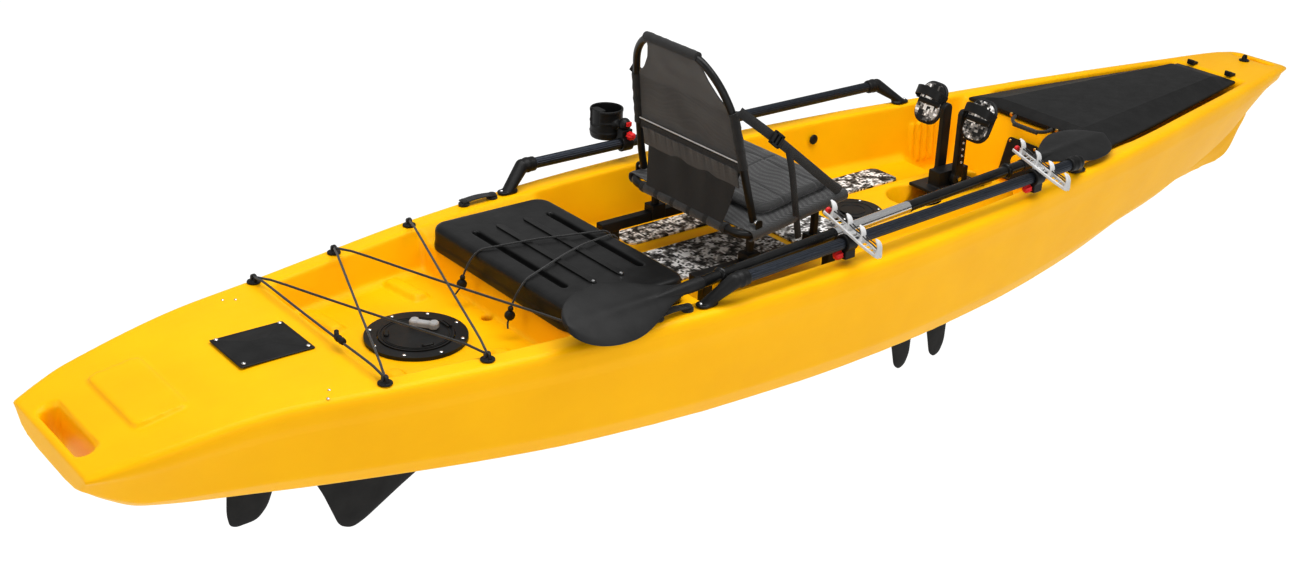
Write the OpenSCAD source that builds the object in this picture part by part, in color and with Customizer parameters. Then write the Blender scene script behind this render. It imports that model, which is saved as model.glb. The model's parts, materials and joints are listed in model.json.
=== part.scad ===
// Sit-on-top fishing kayak with a fin drive.
// +X points to the bow, +Y to port, +Z up. The origin is on the flat keel, amidships.

/* [Hull] */
// Wall thickness of the moulded shell
wall = 4; // [4:0.5:5]
// Height of the tank well floor above the keel
tank_floor = 232; // [225:1:240]
// Height of the cockpit floor above the keel
cockpit_floor = 195; // [185:1:200]
// Height of the centre console above the keel
console_top = 232; // [225:1:236]
// Half width of the centre console
console_half = 110; // [105:1:120]
// Half length of the stern grip slot, across the hull
stern_slot_half = 94; // [84:1:100]
// Half length of the bow grip slot, across the hull
bow_slot_half = 62; // [50:1:66]

/* [Fittings] */
// Diameter of the side rail tubes
rail_d = 30; // [26:1:32]
// Height of the side rails above the deck edge
rail_lift = 56; // [54:1:64]
// Outer diameter of the rear hatch ring
rear_hatch_d = 248; // [230:1:250]
// Outer diameter of the centre hatch ring
centre_hatch_d = 172; // [160:1:174]
// Diameter of the deck bungee
bungee_d = 6; // [4:0.5:7]
// Inside diameter of the rod holder cup
cup_d = 84; // [76:1:86]

/* [Seat] */
// Half width of the seat frame
seat_half = 246; // [235:1:250]
// Diameter of the seat frame tubes
seat_tube_d = 22; // [20:1:24]
// Thickness of the seat cushion
cushion_t = 34; // [26:1:36]

/* [Paddle] */
// Diameter of the paddle shaft
shaft_d = 29; // [26:1:30]
// Width of each paddle blade
blade_w = 168; // [150:1:175]

/* [Fin drive] */
// Depth of the drive fins below the keel
fin_depth = 345; // [300:5:360]
// Length of the pedal arms between their two axles
arm_l = 195; // [180:5:215]

/* [Hidden] */
$fn = 32;

// Colours
yellow = [0.98, 0.72, 0.03];
black = [0.08, 0.08, 0.085];
dark = [0.13, 0.14, 0.15];
steel = [0.75, 0.76, 0.78];
red = [0.85, 0.12, 0.12];
pale = [0.82, 0.84, 0.86];

// Stations along the hull: x, half beam, deck height, chine half width, chine height, keel height
STATIONS = [
    [-2130, 208, 243, 135, 190, 184],
    [-2070, 230, 262, 142, 146, 132],
    [-2000, 250, 280, 152, 112, 92],
    [-1750, 292, 318, 215, 90, 56],
    [-1500, 342, 323, 275, 74, 30],
    [-1250, 390, 329, 325, 58, 12],
    [-1000, 432, 336, 358, 42, 0],
    [-600, 470, 345, 388, 28, 0],
    [-100, 474, 352, 392, 24, 0],
    [400, 430, 359, 350, 28, 0],
    [800, 370, 365, 285, 42, 0],
    [1150, 313, 370, 208, 64, 6],
    [1450, 254, 375, 136, 78, 15],
    [1700, 203, 378, 60, 96, 26],
    [1850, 171, 380, 38, 140, 36],
    [1950, 149, 381, 28, 196, 42],
    [2000, 137, 381, 26, 228, 66],
    [2040, 126, 380, 26, 254, 136],
    [2090, 111, 376, 42, 284, 226],
    [2130, 97, 368, 60, 306, 280]
];
BEAM = 1;
SHEER = 2;
CHINE_Y = 3;
CHINE_Z = 4;
KEEL = 5;
last = len(STATIONS) - 1;
above_deck = 400;
// Height of the ledges under the two ends of the bow cover
cover_ledge = 345;
// Floor heights outside the console, along x; above_deck means that the deck is closed there
FLOOR = [[-1540, above_deck], [-1440, tank_floor], [-1025, tank_floor], [-1008, 300], [-640, 300],
    [-610, cockpit_floor], [700, cockpit_floor], [780, 130], [890, 130], [955, cover_ledge],
    [1050, cover_ledge], [1110, 150], [1690, 190], [1760, cover_ledge], [1812, cover_ledge],
    [1826, above_deck]];
// Heights along the centreline
CENTRE = [[-1540, above_deck], [-1440, tank_floor], [-1025, tank_floor], [-1008, 300], [-996, 300],
    [-976, 190], [-692, 190], [-672, 300], [-640, 300], [-610, console_top], [740, console_top],
    [790, 130], [890, 130], [955, cover_ledge], [1050, cover_ledge], [1110, 150], [1690, 190],
    [1760, cover_ledge], [1812, cover_ledge], [1826, above_deck]];
// Half width of the console, which is the half width of the storage pit aft of it
CENTRE_HALF = [[-1025, console_half], [-1008, 270], [-665, 270], [-646, console_half],
    [1000, console_half], [1100, 60], [1700, 40], [2130, 12]];
// Width of the side decks
SIDE_DECK = [[-2130, 60], [-1500, 62], [-1000, 72], [0, 78], [700, 56], [1200, 48], [1800, 40],
    [2130, 30]];

// Cubic curve through column k of STATIONS at x
function span(x, i = 0) = (i >= last - 1 || x < STATIONS[i + 1][0]) ? i : span(x, i + 1);
function grade(i, k) = let (a = max(i - 1, 0), b = min(i + 1, last))
    (STATIONS[b][k] - STATIONS[a][k]) / (STATIONS[b][0] - STATIONS[a][0]);
function hull_at(x, k) = let (i = span(x), h = STATIONS[i + 1][0] - STATIONS[i][0],
    t = (x - STATIONS[i][0]) / h, s = 1 - t)
    s * s * (1 + 2 * t) * STATIONS[i][k] + t * t * (1 + 2 * s) * STATIONS[i + 1][k]
    + h * s * t * (s * grade(i, k) - t * grade(i + 1, k));
function beam(x) = hull_at(x, BEAM);
function sheer(x) = hull_at(x, SHEER);
function keel(x) = max(0, hull_at(x, KEEL));
function side_mid(x) = beam(x) - lookup(x, SIDE_DECK) / 2 - 4;
// Lowest value of a height table near x, never above the deck
function low(x, table, reach) = min(sheer(x), lookup(x - reach, table), lookup(x, table),
    lookup(x + reach, table));

// Half section from the keel round to the deck centre, as [y, z] points
function half_section(x, reach) = let (
    w = beam(x), zs = sheer(x), c = hull_at(x, CHINE_Y), zc = hull_at(x, CHINE_Z),
    zk = keel(x), inner = w - lookup(x, SIDE_DECK), zf = low(x, FLOOR, reach),
    zt = low(x, CENTRE, reach), half = min(lookup(x, CENTRE_HALF), 0.8 * inner), drop = zs - zf,
    side = zs - zc, crease = zs - 0.3 * side)
    [[0, zk], [0.5 * c, zk], [0.82 * c, zk + 0.35 * (zc - zk)], [c, zc],
     [c + 0.5 * (w - c - 12), zc + 0.24 * (crease - zc)], [w - 13, crease],
     [w - 3, zs - min(58, 0.2 * side)], [w, zs - min(24, 0.12 * side)],
     [w - 4, zs - min(8, 0.05 * side)], [w - 16, zs], [inner + 7, zs], [inner, zs - min(4, drop)],
     [inner - 0.04 * inner, zs - 0.45 * drop], [0.92 * inner, zs - 0.9 * drop],
     [0.86 * inner, zf], [half + 0.09 * inner, zf], [half, zt], [0, zt]];
function mirror_half(h) = concat(h, [for (i = [len(h) - 2:-1:1]) [-h[i][0], h[i][1]]]);
// Closed outline moved inwards by t at every corner
function unit(v) = v / norm(v);
function inset(p, t) = [for (i = [0:len(p) - 1]) let (n = len(p), a = p[(i + n - 1) % n], b = p[i],
    c = p[(i + 1) % n], u = unit(b - a), v = unit(c - b), m = [-u[1] - v[1], u[0] + v[0]])
    b + t * m / (1 + u * v)];
function section(x, t) = t == 0 ? mirror_half(half_section(x, 0))
    : inset(mirror_half(half_section(x, t + 1)), t);

function steps(a, b, d) = [for (x = [a:d:b]) x];
OUTER_X = concat([-2130, -2112, -2070, -2000, -1880, -1760, -1640, -1540, -1505, -1472, -1440],
    steps(-1330, -1110, 110), [-1025, -1008, -996, -976, -860, -760, -692, -672, -640, -610],
    steps(-500, 600, 110), [700, 740, 760, 790, 840, 890, 920, 955, 1000, 1050, 1080, 1110],
    steps(1230, 1590, 120), [1690, 1725, 1760, 1812, 1826, 1870, 1910, 1950, 2000, 2040, 2075],
    [2110, 2130]);
// Each row lies a reach inside a step of the floor, so the air space stays under the floor
VOID_X = concat([-2000, -1880, -1760, -1640, -1545, -1445, -1330, -1220, -1110, -1030, -1020, -1003],
    [-1001, -981, -860, -760, -697, -687, -667, -645, -615], steps(-500, 600, 110), [695, 735, 775],
    [785, 840, 895, 925, 960, 1000, 1045, 1075, 1105, 1230, 1350, 1470, 1590, 1685, 1695, 1730],
    [1765, 1817, 1835, 1870, 1890]);

// Solid through the sections at every x in xs
module loft(xs, t) {
    rings = [for (x = xs) section(x, t)];
    n = len(rings[0]);
    m = len(xs);
    pts = [for (i = [0:m - 1], p = rings[i]) [xs[i], p[0], p[1]]];
    sides = [for (i = [0:m - 2], j = [0:n - 1]) let (k = (j + 1) % n)
        [i * n + j, i * n + k, (i + 1) * n + k, (i + 1) * n + j]];
    ends = [[for (j = [0:n - 1]) j], [for (j = [n - 1:-1:0]) (m - 1) * n + j]];
    polyhedron(pts, concat([for (q = sides) [q[0], q[2], q[1]]], [for (q = sides) [q[0], q[3], q[2]]],
        ends), convexity = 8);
}

// Straight rod between two points
module rod(a, b, d) {
    v = b - a;
    translate(a)
        rotate([0, acos(v[2] / norm(v)), atan2(v[1], v[0])])
            cylinder(h = norm(v), d = d);
}
// Tube along a list of points; the corners swell by a hair so that their seams are clean
module bent_tube(pts, d) {
    for (i = [0:len(pts) - 2]) rod(pts[i], pts[i + 1], d);
    for (i = [1:len(pts) - 2]) translate(pts[i]) sphere(d = d + 1.2);
}
// Slot-shaped or round-ended prism standing on z0
module slot_prism(a, b, r, z0, z1) {
    hull()
        for (p = [a, b])
            translate([p[0], p[1], z0]) cylinder(h = z1 - z0, r = r, $fn = 24);
}
module round_box(size, r) {
    hull()
        for (x = [-1, 1], y = [-1, 1])
            translate([x * (size[0] / 2 - r), y * (size[1] / 2 - r), 0])
                cylinder(h = size[2], r = r, $fn = 24);
}
module both_sides() {
    children();
    mirror([0, 1, 0]) children();
}
module ring(d_out, d_in, h) {
    difference() {
        cylinder(h = h, d = d_out);
        translate([0, 0, -1]) cylinder(h = h + 2, d = d_in);
    }
}
module screw_circle(count, pcd, d, h, start = 0) {
    for (i = [0:count - 1])
        rotate([0, 0, start + i * 360 / count])
            translate([pcd / 2, 0, 0]) cylinder(h = h, d = d);
}
// Flat plate in the XZ plane, centred on y
module blade_xz(outline, t, y = 0) {
    translate([0, y + t / 2, 0]) rotate([90, 0, 0]) linear_extrude(t) polygon(outline);
}

// ---- Hull ----
stern_slot_x = -2088;
bow_slot_x = 2070;
well_x0 = 415;
well_x1 = 690;
well_r = 58;
rudder_x = -1650;
rudder_trunk_r = 26;
SCUPPERS = [[-1042, 0], [-470, 240], [-470, -240], [845, 150], [845, -150]];
scupper_r = 14;
rear_hatch_x = -1242;
centre_hatch_x = 190;

module drive_well(r) { slot_prism([well_x0, 0], [well_x1, 0], r, -20, 320); }
module drive_bowl(grow) {
    hull() {
        translate([430, 0, 300]) cylinder(h = 10, r = 120 + grow, $fn = 32);
        translate([450, 0, 160 - grow]) cylinder(h = 10, r = 50 + grow, $fn = 32);
    }
}
module grip_slots(r) {
    slot_prism([stern_slot_x, -stern_slot_half], [stern_slot_x, stern_slot_half], 21 + r, 20, 420);
    slot_prism([bow_slot_x, -bow_slot_half], [bow_slot_x, bow_slot_half], 14 + r, 20, 420);
}
module trunks(grow) {
    for (s = SCUPPERS) translate([s[0], s[1], -20]) cylinder(h = 300, r = scupper_r + grow, $fn = 24);
    translate([rudder_x, 0, -20]) cylinder(h = 420, r = rudder_trunk_r + grow, $fn = 32);
}
// Mouth under a round hatch, through the floor into the air space
module hatch_mouth(x, floor_z, d) {
    translate([x, 0, floor_z - 3 * wall]) cylinder(h = 6 * wall, d = d, $fn = 40);
}
module hull_shell() {
    difference() {
        union() {
            loft(OUTER_X, 0);
            translate([-1930, 0, 283]) rotate([0, -8, 0]) round_box([118, 262, 14], 14);
        }
        difference() {
            loft(VOID_X, wall);
            drive_well(well_r + wall);
            drive_bowl(wall);
            grip_slots(wall);
            trunks(wall);
        }
        drive_well(well_r);
        drive_bowl(0);
        grip_slots(0);
        trunks(0);
        hatch_mouth(rear_hatch_x, tank_floor, rear_hatch_d - 74);
        hatch_mouth(centre_hatch_x, console_top, centre_hatch_d - 60);
    }
}
module hull_node() { color(yellow) hull_shell(); }

// ---- Stern plate ----
plate_x = -1636;
plate_z = max(sheer(-1556), sheer(-1720)) + 1;
module stern_cover_plate() {
    color(black) translate([plate_x, 0, plate_z]) difference() {
        union() {
            translate([-90, -80, 0]) cube([180, 160, 4]);
            hull() {
                translate([-80, -70, 3]) cube([160, 140, 1]);
                translate([-20, -15, 8]) cube([40, 30, 1]);
            }
        }
        for (x = [-1, 1], y = [-1, 1]) translate([x * 78, y * 69, -1]) cylinder(h = 12, d = 5);
    }
}
module stern_plate_screws() {
    color(steel) for (x = [-1, 1], y = [-1, 1])
        translate([plate_x + x * 78, y * 69, plate_z + 5.4]) {
            cylinder(h = 2.4, d = 10);
            translate([0, 0, -4]) cylinder(h = 4, d = 4.8);
        }
}

// ---- Deck pad-eyes and bungee ----
EYES = [[-1503, 311], [-1267, 349], [-1030, 385]];
bow_eye_x = 2016;
function eye_z(x) = max(sheer(x - 17), sheer(x + 17)) + 0.5;
function eye_at(i, side) = [EYES[i][0], side * EYES[i][1], eye_z(EYES[i][0]) + 15];
module pad_eye() {
    difference() {
        union() {
            cylinder(h = 4, d = 34);
            translate([0, 0, 4]) cylinder(h = 3.5, d1 = 22, d2 = 16);
            translate([-4, 0, 9]) rotate([0, 90, 0]) cylinder(h = 8, d = 24);
        }
        translate([-6, 0, 13]) rotate([0, 90, 0]) cylinder(h = 12, d = 10);
        translate([-20, -20, -20]) cube([40, 40, 20]);
    }
}
module deck_pad_eyes() {
    color(black) {
        both_sides()
            for (e = EYES) translate([e[0], e[1], eye_z(e[0])]) pad_eye();
        translate([bow_eye_x, 0, eye_z(bow_eye_x)]) rotate([0, 0, 90]) pad_eye();
    }
}
BUNGEE = [[[0, 1], [0, -1]], [[0, 1], [1, -1]], [[1, 1], [0, -1]], [[1, 1], [2, -1]],
    [[2, 1], [1, -1]]];
module deck_bungee() {
    color(black)
        for (s = BUNGEE) {
            a = eye_at(s[0][0], s[0][1]);
            b = eye_at(s[1][0], s[1][1]);
            u = unit(b - a);
            rod(a + 18 * u + [0, 0, 8], b - 18 * u + [0, 0, 8], bungee_d);
        }
}
module bungee_adjuster() {
    a = eye_at(0, 1);
    color(black) translate([a[0], -115, a[2] + 8 + bungee_d / 2 + 0.5])
        difference() {
            translate([-8, -16, 0]) cube([16, 32, 12]);
            translate([0, 0, -1]) cylinder(h = 14, d = 6);
        }
}

// ---- Round hatches ----
hatch_lip = 9;
twist_x = 34;
twist_y = 20;
module rear_hatch_ring() {
    color(black) translate([rear_hatch_x, 0, tank_floor + 0.5])
        difference() {
            ring(rear_hatch_d, rear_hatch_d - 62, hatch_lip);
            translate([0, 0, -1]) screw_circle(8, rear_hatch_d - 22, 5, 30);
        }
}
module rear_hatch_screws() {
    color(steel) translate([rear_hatch_x, 0, tank_floor + 0.7 + hatch_lip])
        screw_circle(8, rear_hatch_d - 22, 10, 3);
}
module rear_hatch_lid() {
    d = rear_hatch_d - 66;
    color(black) translate([rear_hatch_x, 0, tank_floor + 2]) difference() {
        union() {
            cylinder(h = 10, d = d);
            translate([d / 2 - 14, -18, 10]) cube([12, 36, 5]);
        }
        translate([0, 0, 8]) ring(d - 10, d - 16, 8);
        translate([twist_x, twist_y, -1]) cylinder(h = 14, d = 12);
    }
}
module rear_hatch_handle() {
    color(pale) translate([rear_hatch_x + twist_x, twist_y, tank_floor + 12.5]) {
        rotate([0, 0, -52]) slot_prism([-30, 0], [30, 0], 10, 0, 14);
        rotate([0, 0, -52])
            for (s = [-1, 1]) translate([s * 27, 0, 0]) cylinder(h = 17, d = 25);
        translate([0, 0, -9]) cylinder(h = 12, d = 11.6);
    }
}
module centre_hatch_ring() {
    color(black) translate([centre_hatch_x, 0, console_top + 0.5])
        difference() {
            ring(centre_hatch_d, centre_hatch_d - 48, 8);
            translate([0, 0, -1]) screw_circle(6, centre_hatch_d - 18, 5, 30, 30);
        }
}
module centre_hatch_screws() {
    color(steel) translate([centre_hatch_x, 0, console_top + 8.7])
        screw_circle(6, centre_hatch_d - 18, 9, 2.5, 30);
}
module centre_hatch_lid() {
    d = centre_hatch_d - 52;
    color(black) translate([centre_hatch_x, 0, console_top + 1])
        difference() {
            cylinder(h = 9, d = d);
            intersection() {
                translate([-20, 0, 3]) cylinder(h = 12, d = 62);
                translate([-66, 0, 3]) cylinder(h = 12, d = 62);
            }
        }
}

// ---- Storage box lid ----
box_x0 = -1020;
box_x1 = -664;
box_z0 = 301;
box_z1 = 368;
box_y = 312;
box_r = 46;
function box_mid() = (box_x0 + box_x1) / 2;
module box_slab(grow, h, r) {
    round_box([box_x1 - box_x0 + 2 * grow, 2 * box_y + 2 * grow, h], r);
}
module storage_box_lid() {
    color(black) translate([box_mid(), 0, box_z0]) difference() {
        union() {
            box_slab(0, box_z1 - box_z0 - 12, box_r);
            hull() {
                translate([0, 0, box_z1 - box_z0 - 13]) box_slab(0, 1, box_r);
                translate([0, 0, box_z1 - box_z0 - 1]) box_slab(-14, 1, box_r - 14);
            }
            for (x = [-38, 52])
                translate([x, -215, box_z1 - box_z0 - 4]) cube([14, 420, 9]);
        }
        translate([0, 0, -1]) box_slab(-5, box_z1 - box_z0 - 14, box_r - 5);
        for (x = [-108, 118])
            hull()
                for (y = [-190, 190])
                    translate([x, y, box_z1 - box_z0 - 8]) cylinder(h = 20, d = 20);
    }
}
// The two cords cross the lid towards its front edge; their lines stay above the ribs
cord_top = box_z1 + 14;
TOGGLES = [[-1056, 92, 330], [-1056, -92, 330]];
// Straight eight-sided runs from point to point
module cord_runs(pts, d) {
    for (i = [0:len(pts) - 2])
        hull() for (p = [pts[i], pts[i + 1]]) translate(p) sphere(d = d, $fn = 8);
}
module box_tie_cords() {
    color(black) for (t = TOGGLES) {
        side = sign(t[1]);
        cord_runs([[t[0] + 2, t[1], t[2] - 22], [box_x0 - 9, t[1], box_z1 - 4],
            [box_x0 + 18, t[1], box_z1 + 6], [box_mid() - 20, side * 66, cord_top],
            [box_x1 - 9, side * 14, box_z1 + 7], [box_x1 + 9, side * 14, box_z1 - 9],
            [box_x1 + 9, side * 14, box_z0 + 4]], 5);
    }
}
module box_cord_toggles() {
    color(black) for (t = TOGGLES)
        translate([t[0], t[1] + 9, t[2] - 40]) rotate([90, 0, 0])
            difference() {
                cylinder(h = 18, d = 26);
                translate([0, 0, -1]) cylinder(h = 20, d = 6);
            }
}

// ---- Side rails ----
RAIL_A = [-640, 446];
RAIL_B = [655, 398];
rail_foot_in = 62;
function rail_z(x) = lookup(x, [[RAIL_A[0], sheer(RAIL_A[0])], [RAIL_B[0], sheer(RAIL_B[0])]])
    + rail_lift;
function rail_at(x, side) = [x, side * lookup(x, [RAIL_A, RAIL_B]), rail_z(x)];
function rail_dir(side) = unit(rail_at(RAIL_B[0], side) - rail_at(RAIL_A[0], side));
// Underside of a rail's foot, just clear of the deck at both of its ends
function foot_z(x) = max(sheer(x - 26), sheer(x + 26)) + 0.5;
sleeve = 26;
module rail_tube(side) {
    color(dark) rod(rail_at(RAIL_A[0] + sleeve, side), rail_at(RAIL_B[0] - sleeve, side), rail_d);
}
module casting(x, side, way) {
    p = rail_at(x, side);
    q = rail_at(x - way * sleeve, side);
    foot_x = x + way * rail_foot_in;
    foot = [foot_x, side * side_mid(foot_x), foot_z(foot_x)];
    rod(q, p, rail_d + 8);
    hull() {
        translate(p) sphere(d = rail_d + 9, $fn = 24);
        translate(foot + [-way * 4, 0, 6]) cylinder(h = 4, d = 34, $fn = 24);
    }
    hull()
        for (dx = [-12, 12]) translate(foot + [dx, 0, 0]) cylinder(h = 7, d = 36, $fn = 24);
}
module port_rail_tube() { rail_tube(1); }
module starboard_rail_tube() { rail_tube(-1); }
module rail_castings(side) {
    color(black) {
        casting(RAIL_A[0], side, -1);
        casting(RAIL_B[0], side, 1);
    }
}
module port_rail_castings() { rail_castings(1); }
module starboard_rail_castings() { rail_castings(-1); }
module rail_bolts() {
    color(steel) both_sides()
        for (e = [[RAIL_A[0], -1], [RAIL_B[0], 1]]) {
            foot_x = e[0] + e[1] * rail_foot_in;
            translate([foot_x + 19 * e[1], side_mid(foot_x), foot_z(foot_x) + 7.3])
                cylinder(h = 4, d = 9);
        }
}

// ---- Holders on the rails ----
ROD_X = -300;
FRONT_X = 470;
REAR_X = -262;
clamp_w = 34;
// Clamp ring along the rail, with a square block on its top or on its underside
module rail_clamp(x, side, on_top) {
    v = rail_dir(side);
    translate(rail_at(x, side)) rotate([0, acos(v[2]), atan2(v[1], v[0])])
        translate([0, 0, -clamp_w / 2])
        difference() {
            union() {
                cylinder(h = clamp_w, d = rail_d + 16);
                translate([on_top ? -(rail_d / 2 + 26) : rail_d / 2 - 2, -14, 0])
                    cube([28, 28, clamp_w]);
            }
            translate([0, 0, -1]) cylinder(h = clamp_w + 2, d = rail_d + 0.2);
        }
}
knob_gap = 2;
module clamp_knob(x, side) {
    color(red) translate(rail_at(x, side) - [clamp_w / 2 + knob_gap, 0, rail_d / 2 + 14])
        rotate([0, -90, 0]) {
            cylinder(h = 16, d = 24);
            translate([0, 0, 16]) cylinder(h = 7, d1 = 24, d2 = 16);
        }
}
module rod_holder_clamp() { color(black) rail_clamp(ROD_X, 1, true); }
module rod_holder_knob() {
    color(red) translate(rail_at(ROD_X, 1) + [0, -18, rail_d / 2 + 13]) rotate([90, 0, 0]) {
        cylinder(h = 16, d = 24);
        translate([0, 0, 16]) cylinder(h = 7, d1 = 24, d2 = 16);
    }
}
// Pivot of the cup arm, on top of the clamp block
function cup_pivot() = rail_at(ROD_X, 1) + [0, 0, rail_d / 2 + 40];
cup_l = 86;
cup_t = 5;
// Centre of the cup from its pivot; the cup stands outboard of the rail
cup_off = [-12, cup_d / 2 + 30, -12];
module rod_holder_cup() {
    color(black) {
        translate(cup_pivot()) {
            rotate([90, 0, 0]) translate([0, 0, -13]) cylinder(h = 26, d = 26);
            translate([-12, 8, -8]) cube([20, 20, 16]);
            translate(cup_off - [0, 0, cup_l / 2]) difference() {
                cylinder(h = cup_l, d = cup_d + 2 * cup_t);
                translate([0, 0, 6]) cylinder(h = cup_l, d = cup_d);
                translate([-cup_d, -22, cup_l - 44]) cube([cup_d, 44, 60]);
            }
        }
    }
}
module front_holder_clamp() { color(black) rail_clamp(FRONT_X, -1, false); }
module rear_holder_clamp() { color(black) rail_clamp(REAR_X, -1, false); }
module front_holder_knob() { clamp_knob(FRONT_X, -1); }
module rear_holder_knob() { clamp_knob(REAR_X, -1); }
// Tray with four upright hooks, which crosses over the rail and swivels on the clamp
function tray_hub(x) = rail_at(x, -1) + [0, 0, rail_d / 2 + 8.6];
tray_in = 86;
tray_out = 118;
tray_drop = 16;
module holder_tray(x) {
    hooks = [-tray_in + 22, -4, 46, tray_out - 12];
    color(pale) translate(tray_hub(x)) {
        cylinder(h = 9, d = 24);
        translate([0, 0, 5]) rotate([tray_drop, 0, 0]) mirror([0, 1, 0]) difference() {
            union() {
                translate([-14, -tray_in, 0]) cube([28, tray_in + tray_out, 7]);
                for (y = hooks) {
                    translate([-9, y - 4, 6]) cube([18, 8, 34]);
                    translate([-9, y - 18, 34]) cube([18, 22, 6]);
                }
            }
            for (y = [-40, 24, 78]) translate([0, y, -1]) cylinder(h = 10, d = 15);
        }
    }
}
module front_holder_tray() { holder_tray(FRONT_X); }
module rear_holder_tray() { holder_tray(REAR_X); }

// ---- Paddle ----
PADDLE_A = [-735, -402, 394];
PADDLE_B = [560, -300, 404];
paddle_u = unit(PADDLE_B - PADDLE_A);
function on_paddle(t) = PADDLE_A + t * (PADDLE_B - PADDLE_A);
sleeve_a = 0.38;
sleeve_b = 0.6;
module paddle_shaft() {
    color(black) {
        rod(PADDLE_A, on_paddle(sleeve_a), shaft_d);
        rod(on_paddle(sleeve_b), PADDLE_B, shaft_d);
    }
}
module paddle_sleeve() { color(steel) rod(on_paddle(sleeve_a), on_paddle(sleeve_b), shaft_d + 2); }
blade_l = 375;
blade_t = 8;
module paddle_blade(tip_way, lean) {
    rotate([0, 90, atan2(paddle_u[1], paddle_u[0])])
        rotate([0, 0, lean])
            mirror([0, 0, tip_way < 0 ? 1 : 0]) {
                hull() {
                    translate([-blade_t / 2, -20, 10]) cube([blade_t, 40, 2]);
                    translate([-blade_t / 2, 0, 140]) rotate([0, 90, 0])
                        cylinder(h = blade_t, d = blade_w * 0.7);
                    translate([-blade_t / 2, 6, blade_l - blade_w / 2]) rotate([0, 90, 0])
                        cylinder(h = blade_t, d = blade_w);
                }
                cylinder(h = 190, d1 = shaft_d, d2 = 14);
            }
}
module paddle_blades() {
    color(black) {
        translate(PADDLE_A - 0.6 * paddle_u) paddle_blade(-1, 30);
        translate(PADDLE_B + 0.6 * paddle_u) paddle_blade(1, 9);
    }
}

// ---- Carry handles ----
carry_x = -800;
module carry_handles() {
    color(black) both_sides() translate([carry_x, side_mid(carry_x) + 2, sheer(carry_x) + 2]) {
        for (x = [-44, 44]) translate([x, 0, 0]) {
            cylinder(h = 5, d = 30);
            translate([0, 0, 5]) cylinder(h = 4, d = 14);
        }
        translate([-44, -13, 9]) cube([88, 26, 4]);
    }
}

// ---- Deck pads ----
pad_t = 5;
module flat_pad(x0, x1, y0, y1, z) {
    translate([(x0 + x1) / 2, (y0 + y1) / 2, z]) round_box([x1 - x0, y1 - y0, pad_t], 22);
}
module deck_pads() {
    color([0.35, 0.35, 0.36]) {
        both_sides() {
            flat_pad(-430, -140, 222, 315, cockpit_floor + 0.5);
            flat_pad(-50, 560, 175, 285, cockpit_floor + 0.5);
        }
        flat_pad(-560, -130, -95, 95, console_top + 0.5);
        flat_pad(-100, 90, -95, 95, console_top + 0.5);
    }
}
module wall_plugs() {
    color(black) both_sides()
        translate([356, 351, 312]) rotate([90, 0, 0]) cylinder(h = 6, d = 30);
}

// ---- Seat ----
SLIDE_Z = 300;
rail_y = 196;
module seat_rails() {
    color(black) both_sides() {
        translate([-560, rail_y - 14, SLIDE_Z - 26]) cube([500, 28, 26]);
        for (x = [-530, -100])
            translate([x, rail_y - 12, cockpit_floor + 0.5])
                cube([30, 24, SLIDE_Z - 26 - cockpit_floor - 0.5]);
    }
}
seat_rear = [-430, 386];
seat_front = [-82, 436];
function seat_z(x) = lookup(x, [seat_rear, seat_front]);
// Clips ride on the rails and carry the frame's cross tubes
module seat_clips() {
    color(black) both_sides()
        for (x = [-372, -150]) {
            translate([x - 22, rail_y - 19, SLIDE_Z + 0.4]) cube([44, 38, 18]);
            for (s = [-1, 1])
                translate([x - 22, rail_y + s * 17.2 - 2.5, SLIDE_Z - 20]) cube([44, 5, 30]);
            translate([x - 8, rail_y - 8, SLIDE_Z + 18]) cube([16, 16, seat_z(x) - SLIDE_Z - 18 - 11]);
        }
}
module seat_frame() {
    color(black) {
        both_sides() {
            bent_tube([[seat_rear[0], 0, seat_rear[1]], [seat_rear[0], seat_half - 40, seat_rear[1]],
                [seat_rear[0] + 40, seat_half, seat_z(seat_rear[0] + 40)],
                [seat_front[0] - 40, seat_half, seat_z(seat_front[0] - 40)],
                [seat_front[0], seat_half - 40, seat_front[1]], [seat_front[0], 0, seat_front[1]]],
                seat_tube_d);
        }
        for (x = [-372, -150])
            rod([x, -seat_half, seat_z(x)], [x, seat_half, seat_z(x)], 18);
        // Lugs that carry the pivot bolts of the back
        both_sides()
            translate([back_pivot[0] - 10, back_half + 16, seat_z(back_pivot[0])]) cube([20, 4, 36]);
    }
}
module seat_cushion() {
    lean = atan2(seat_front[1] - seat_rear[1], seat_front[0] - seat_rear[0]);
    color(dark) translate([-228, 0, seat_z(-228) + seat_tube_d / 2 + 3]) rotate([0, -lean, 0])
        round_box([262, 2 * seat_half - 60, cushion_t], 40);
}
// The back pivots on the frame's sides near its rear corners
back_pivot = [-392, 402];
back_top = [-498, 832];
back_half = 229;
top_half = 104;
module seat_back_frame() {
    color(black) bent_tube([[back_pivot[0], -back_half + 4, back_pivot[1] + 15],
        [back_pivot[0] - 16, -back_half + 8, 480], [-452, -196, 700], [-479, -163, 780],
        [back_top[0], -top_half, back_top[1]], [back_top[0], top_half, back_top[1]],
        [-479, 163, 780], [-452, 196, 700], [back_pivot[0] - 16, back_half - 8, 480],
        [back_pivot[0], back_half - 4, back_pivot[1] + 15]], 20);
}
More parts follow.
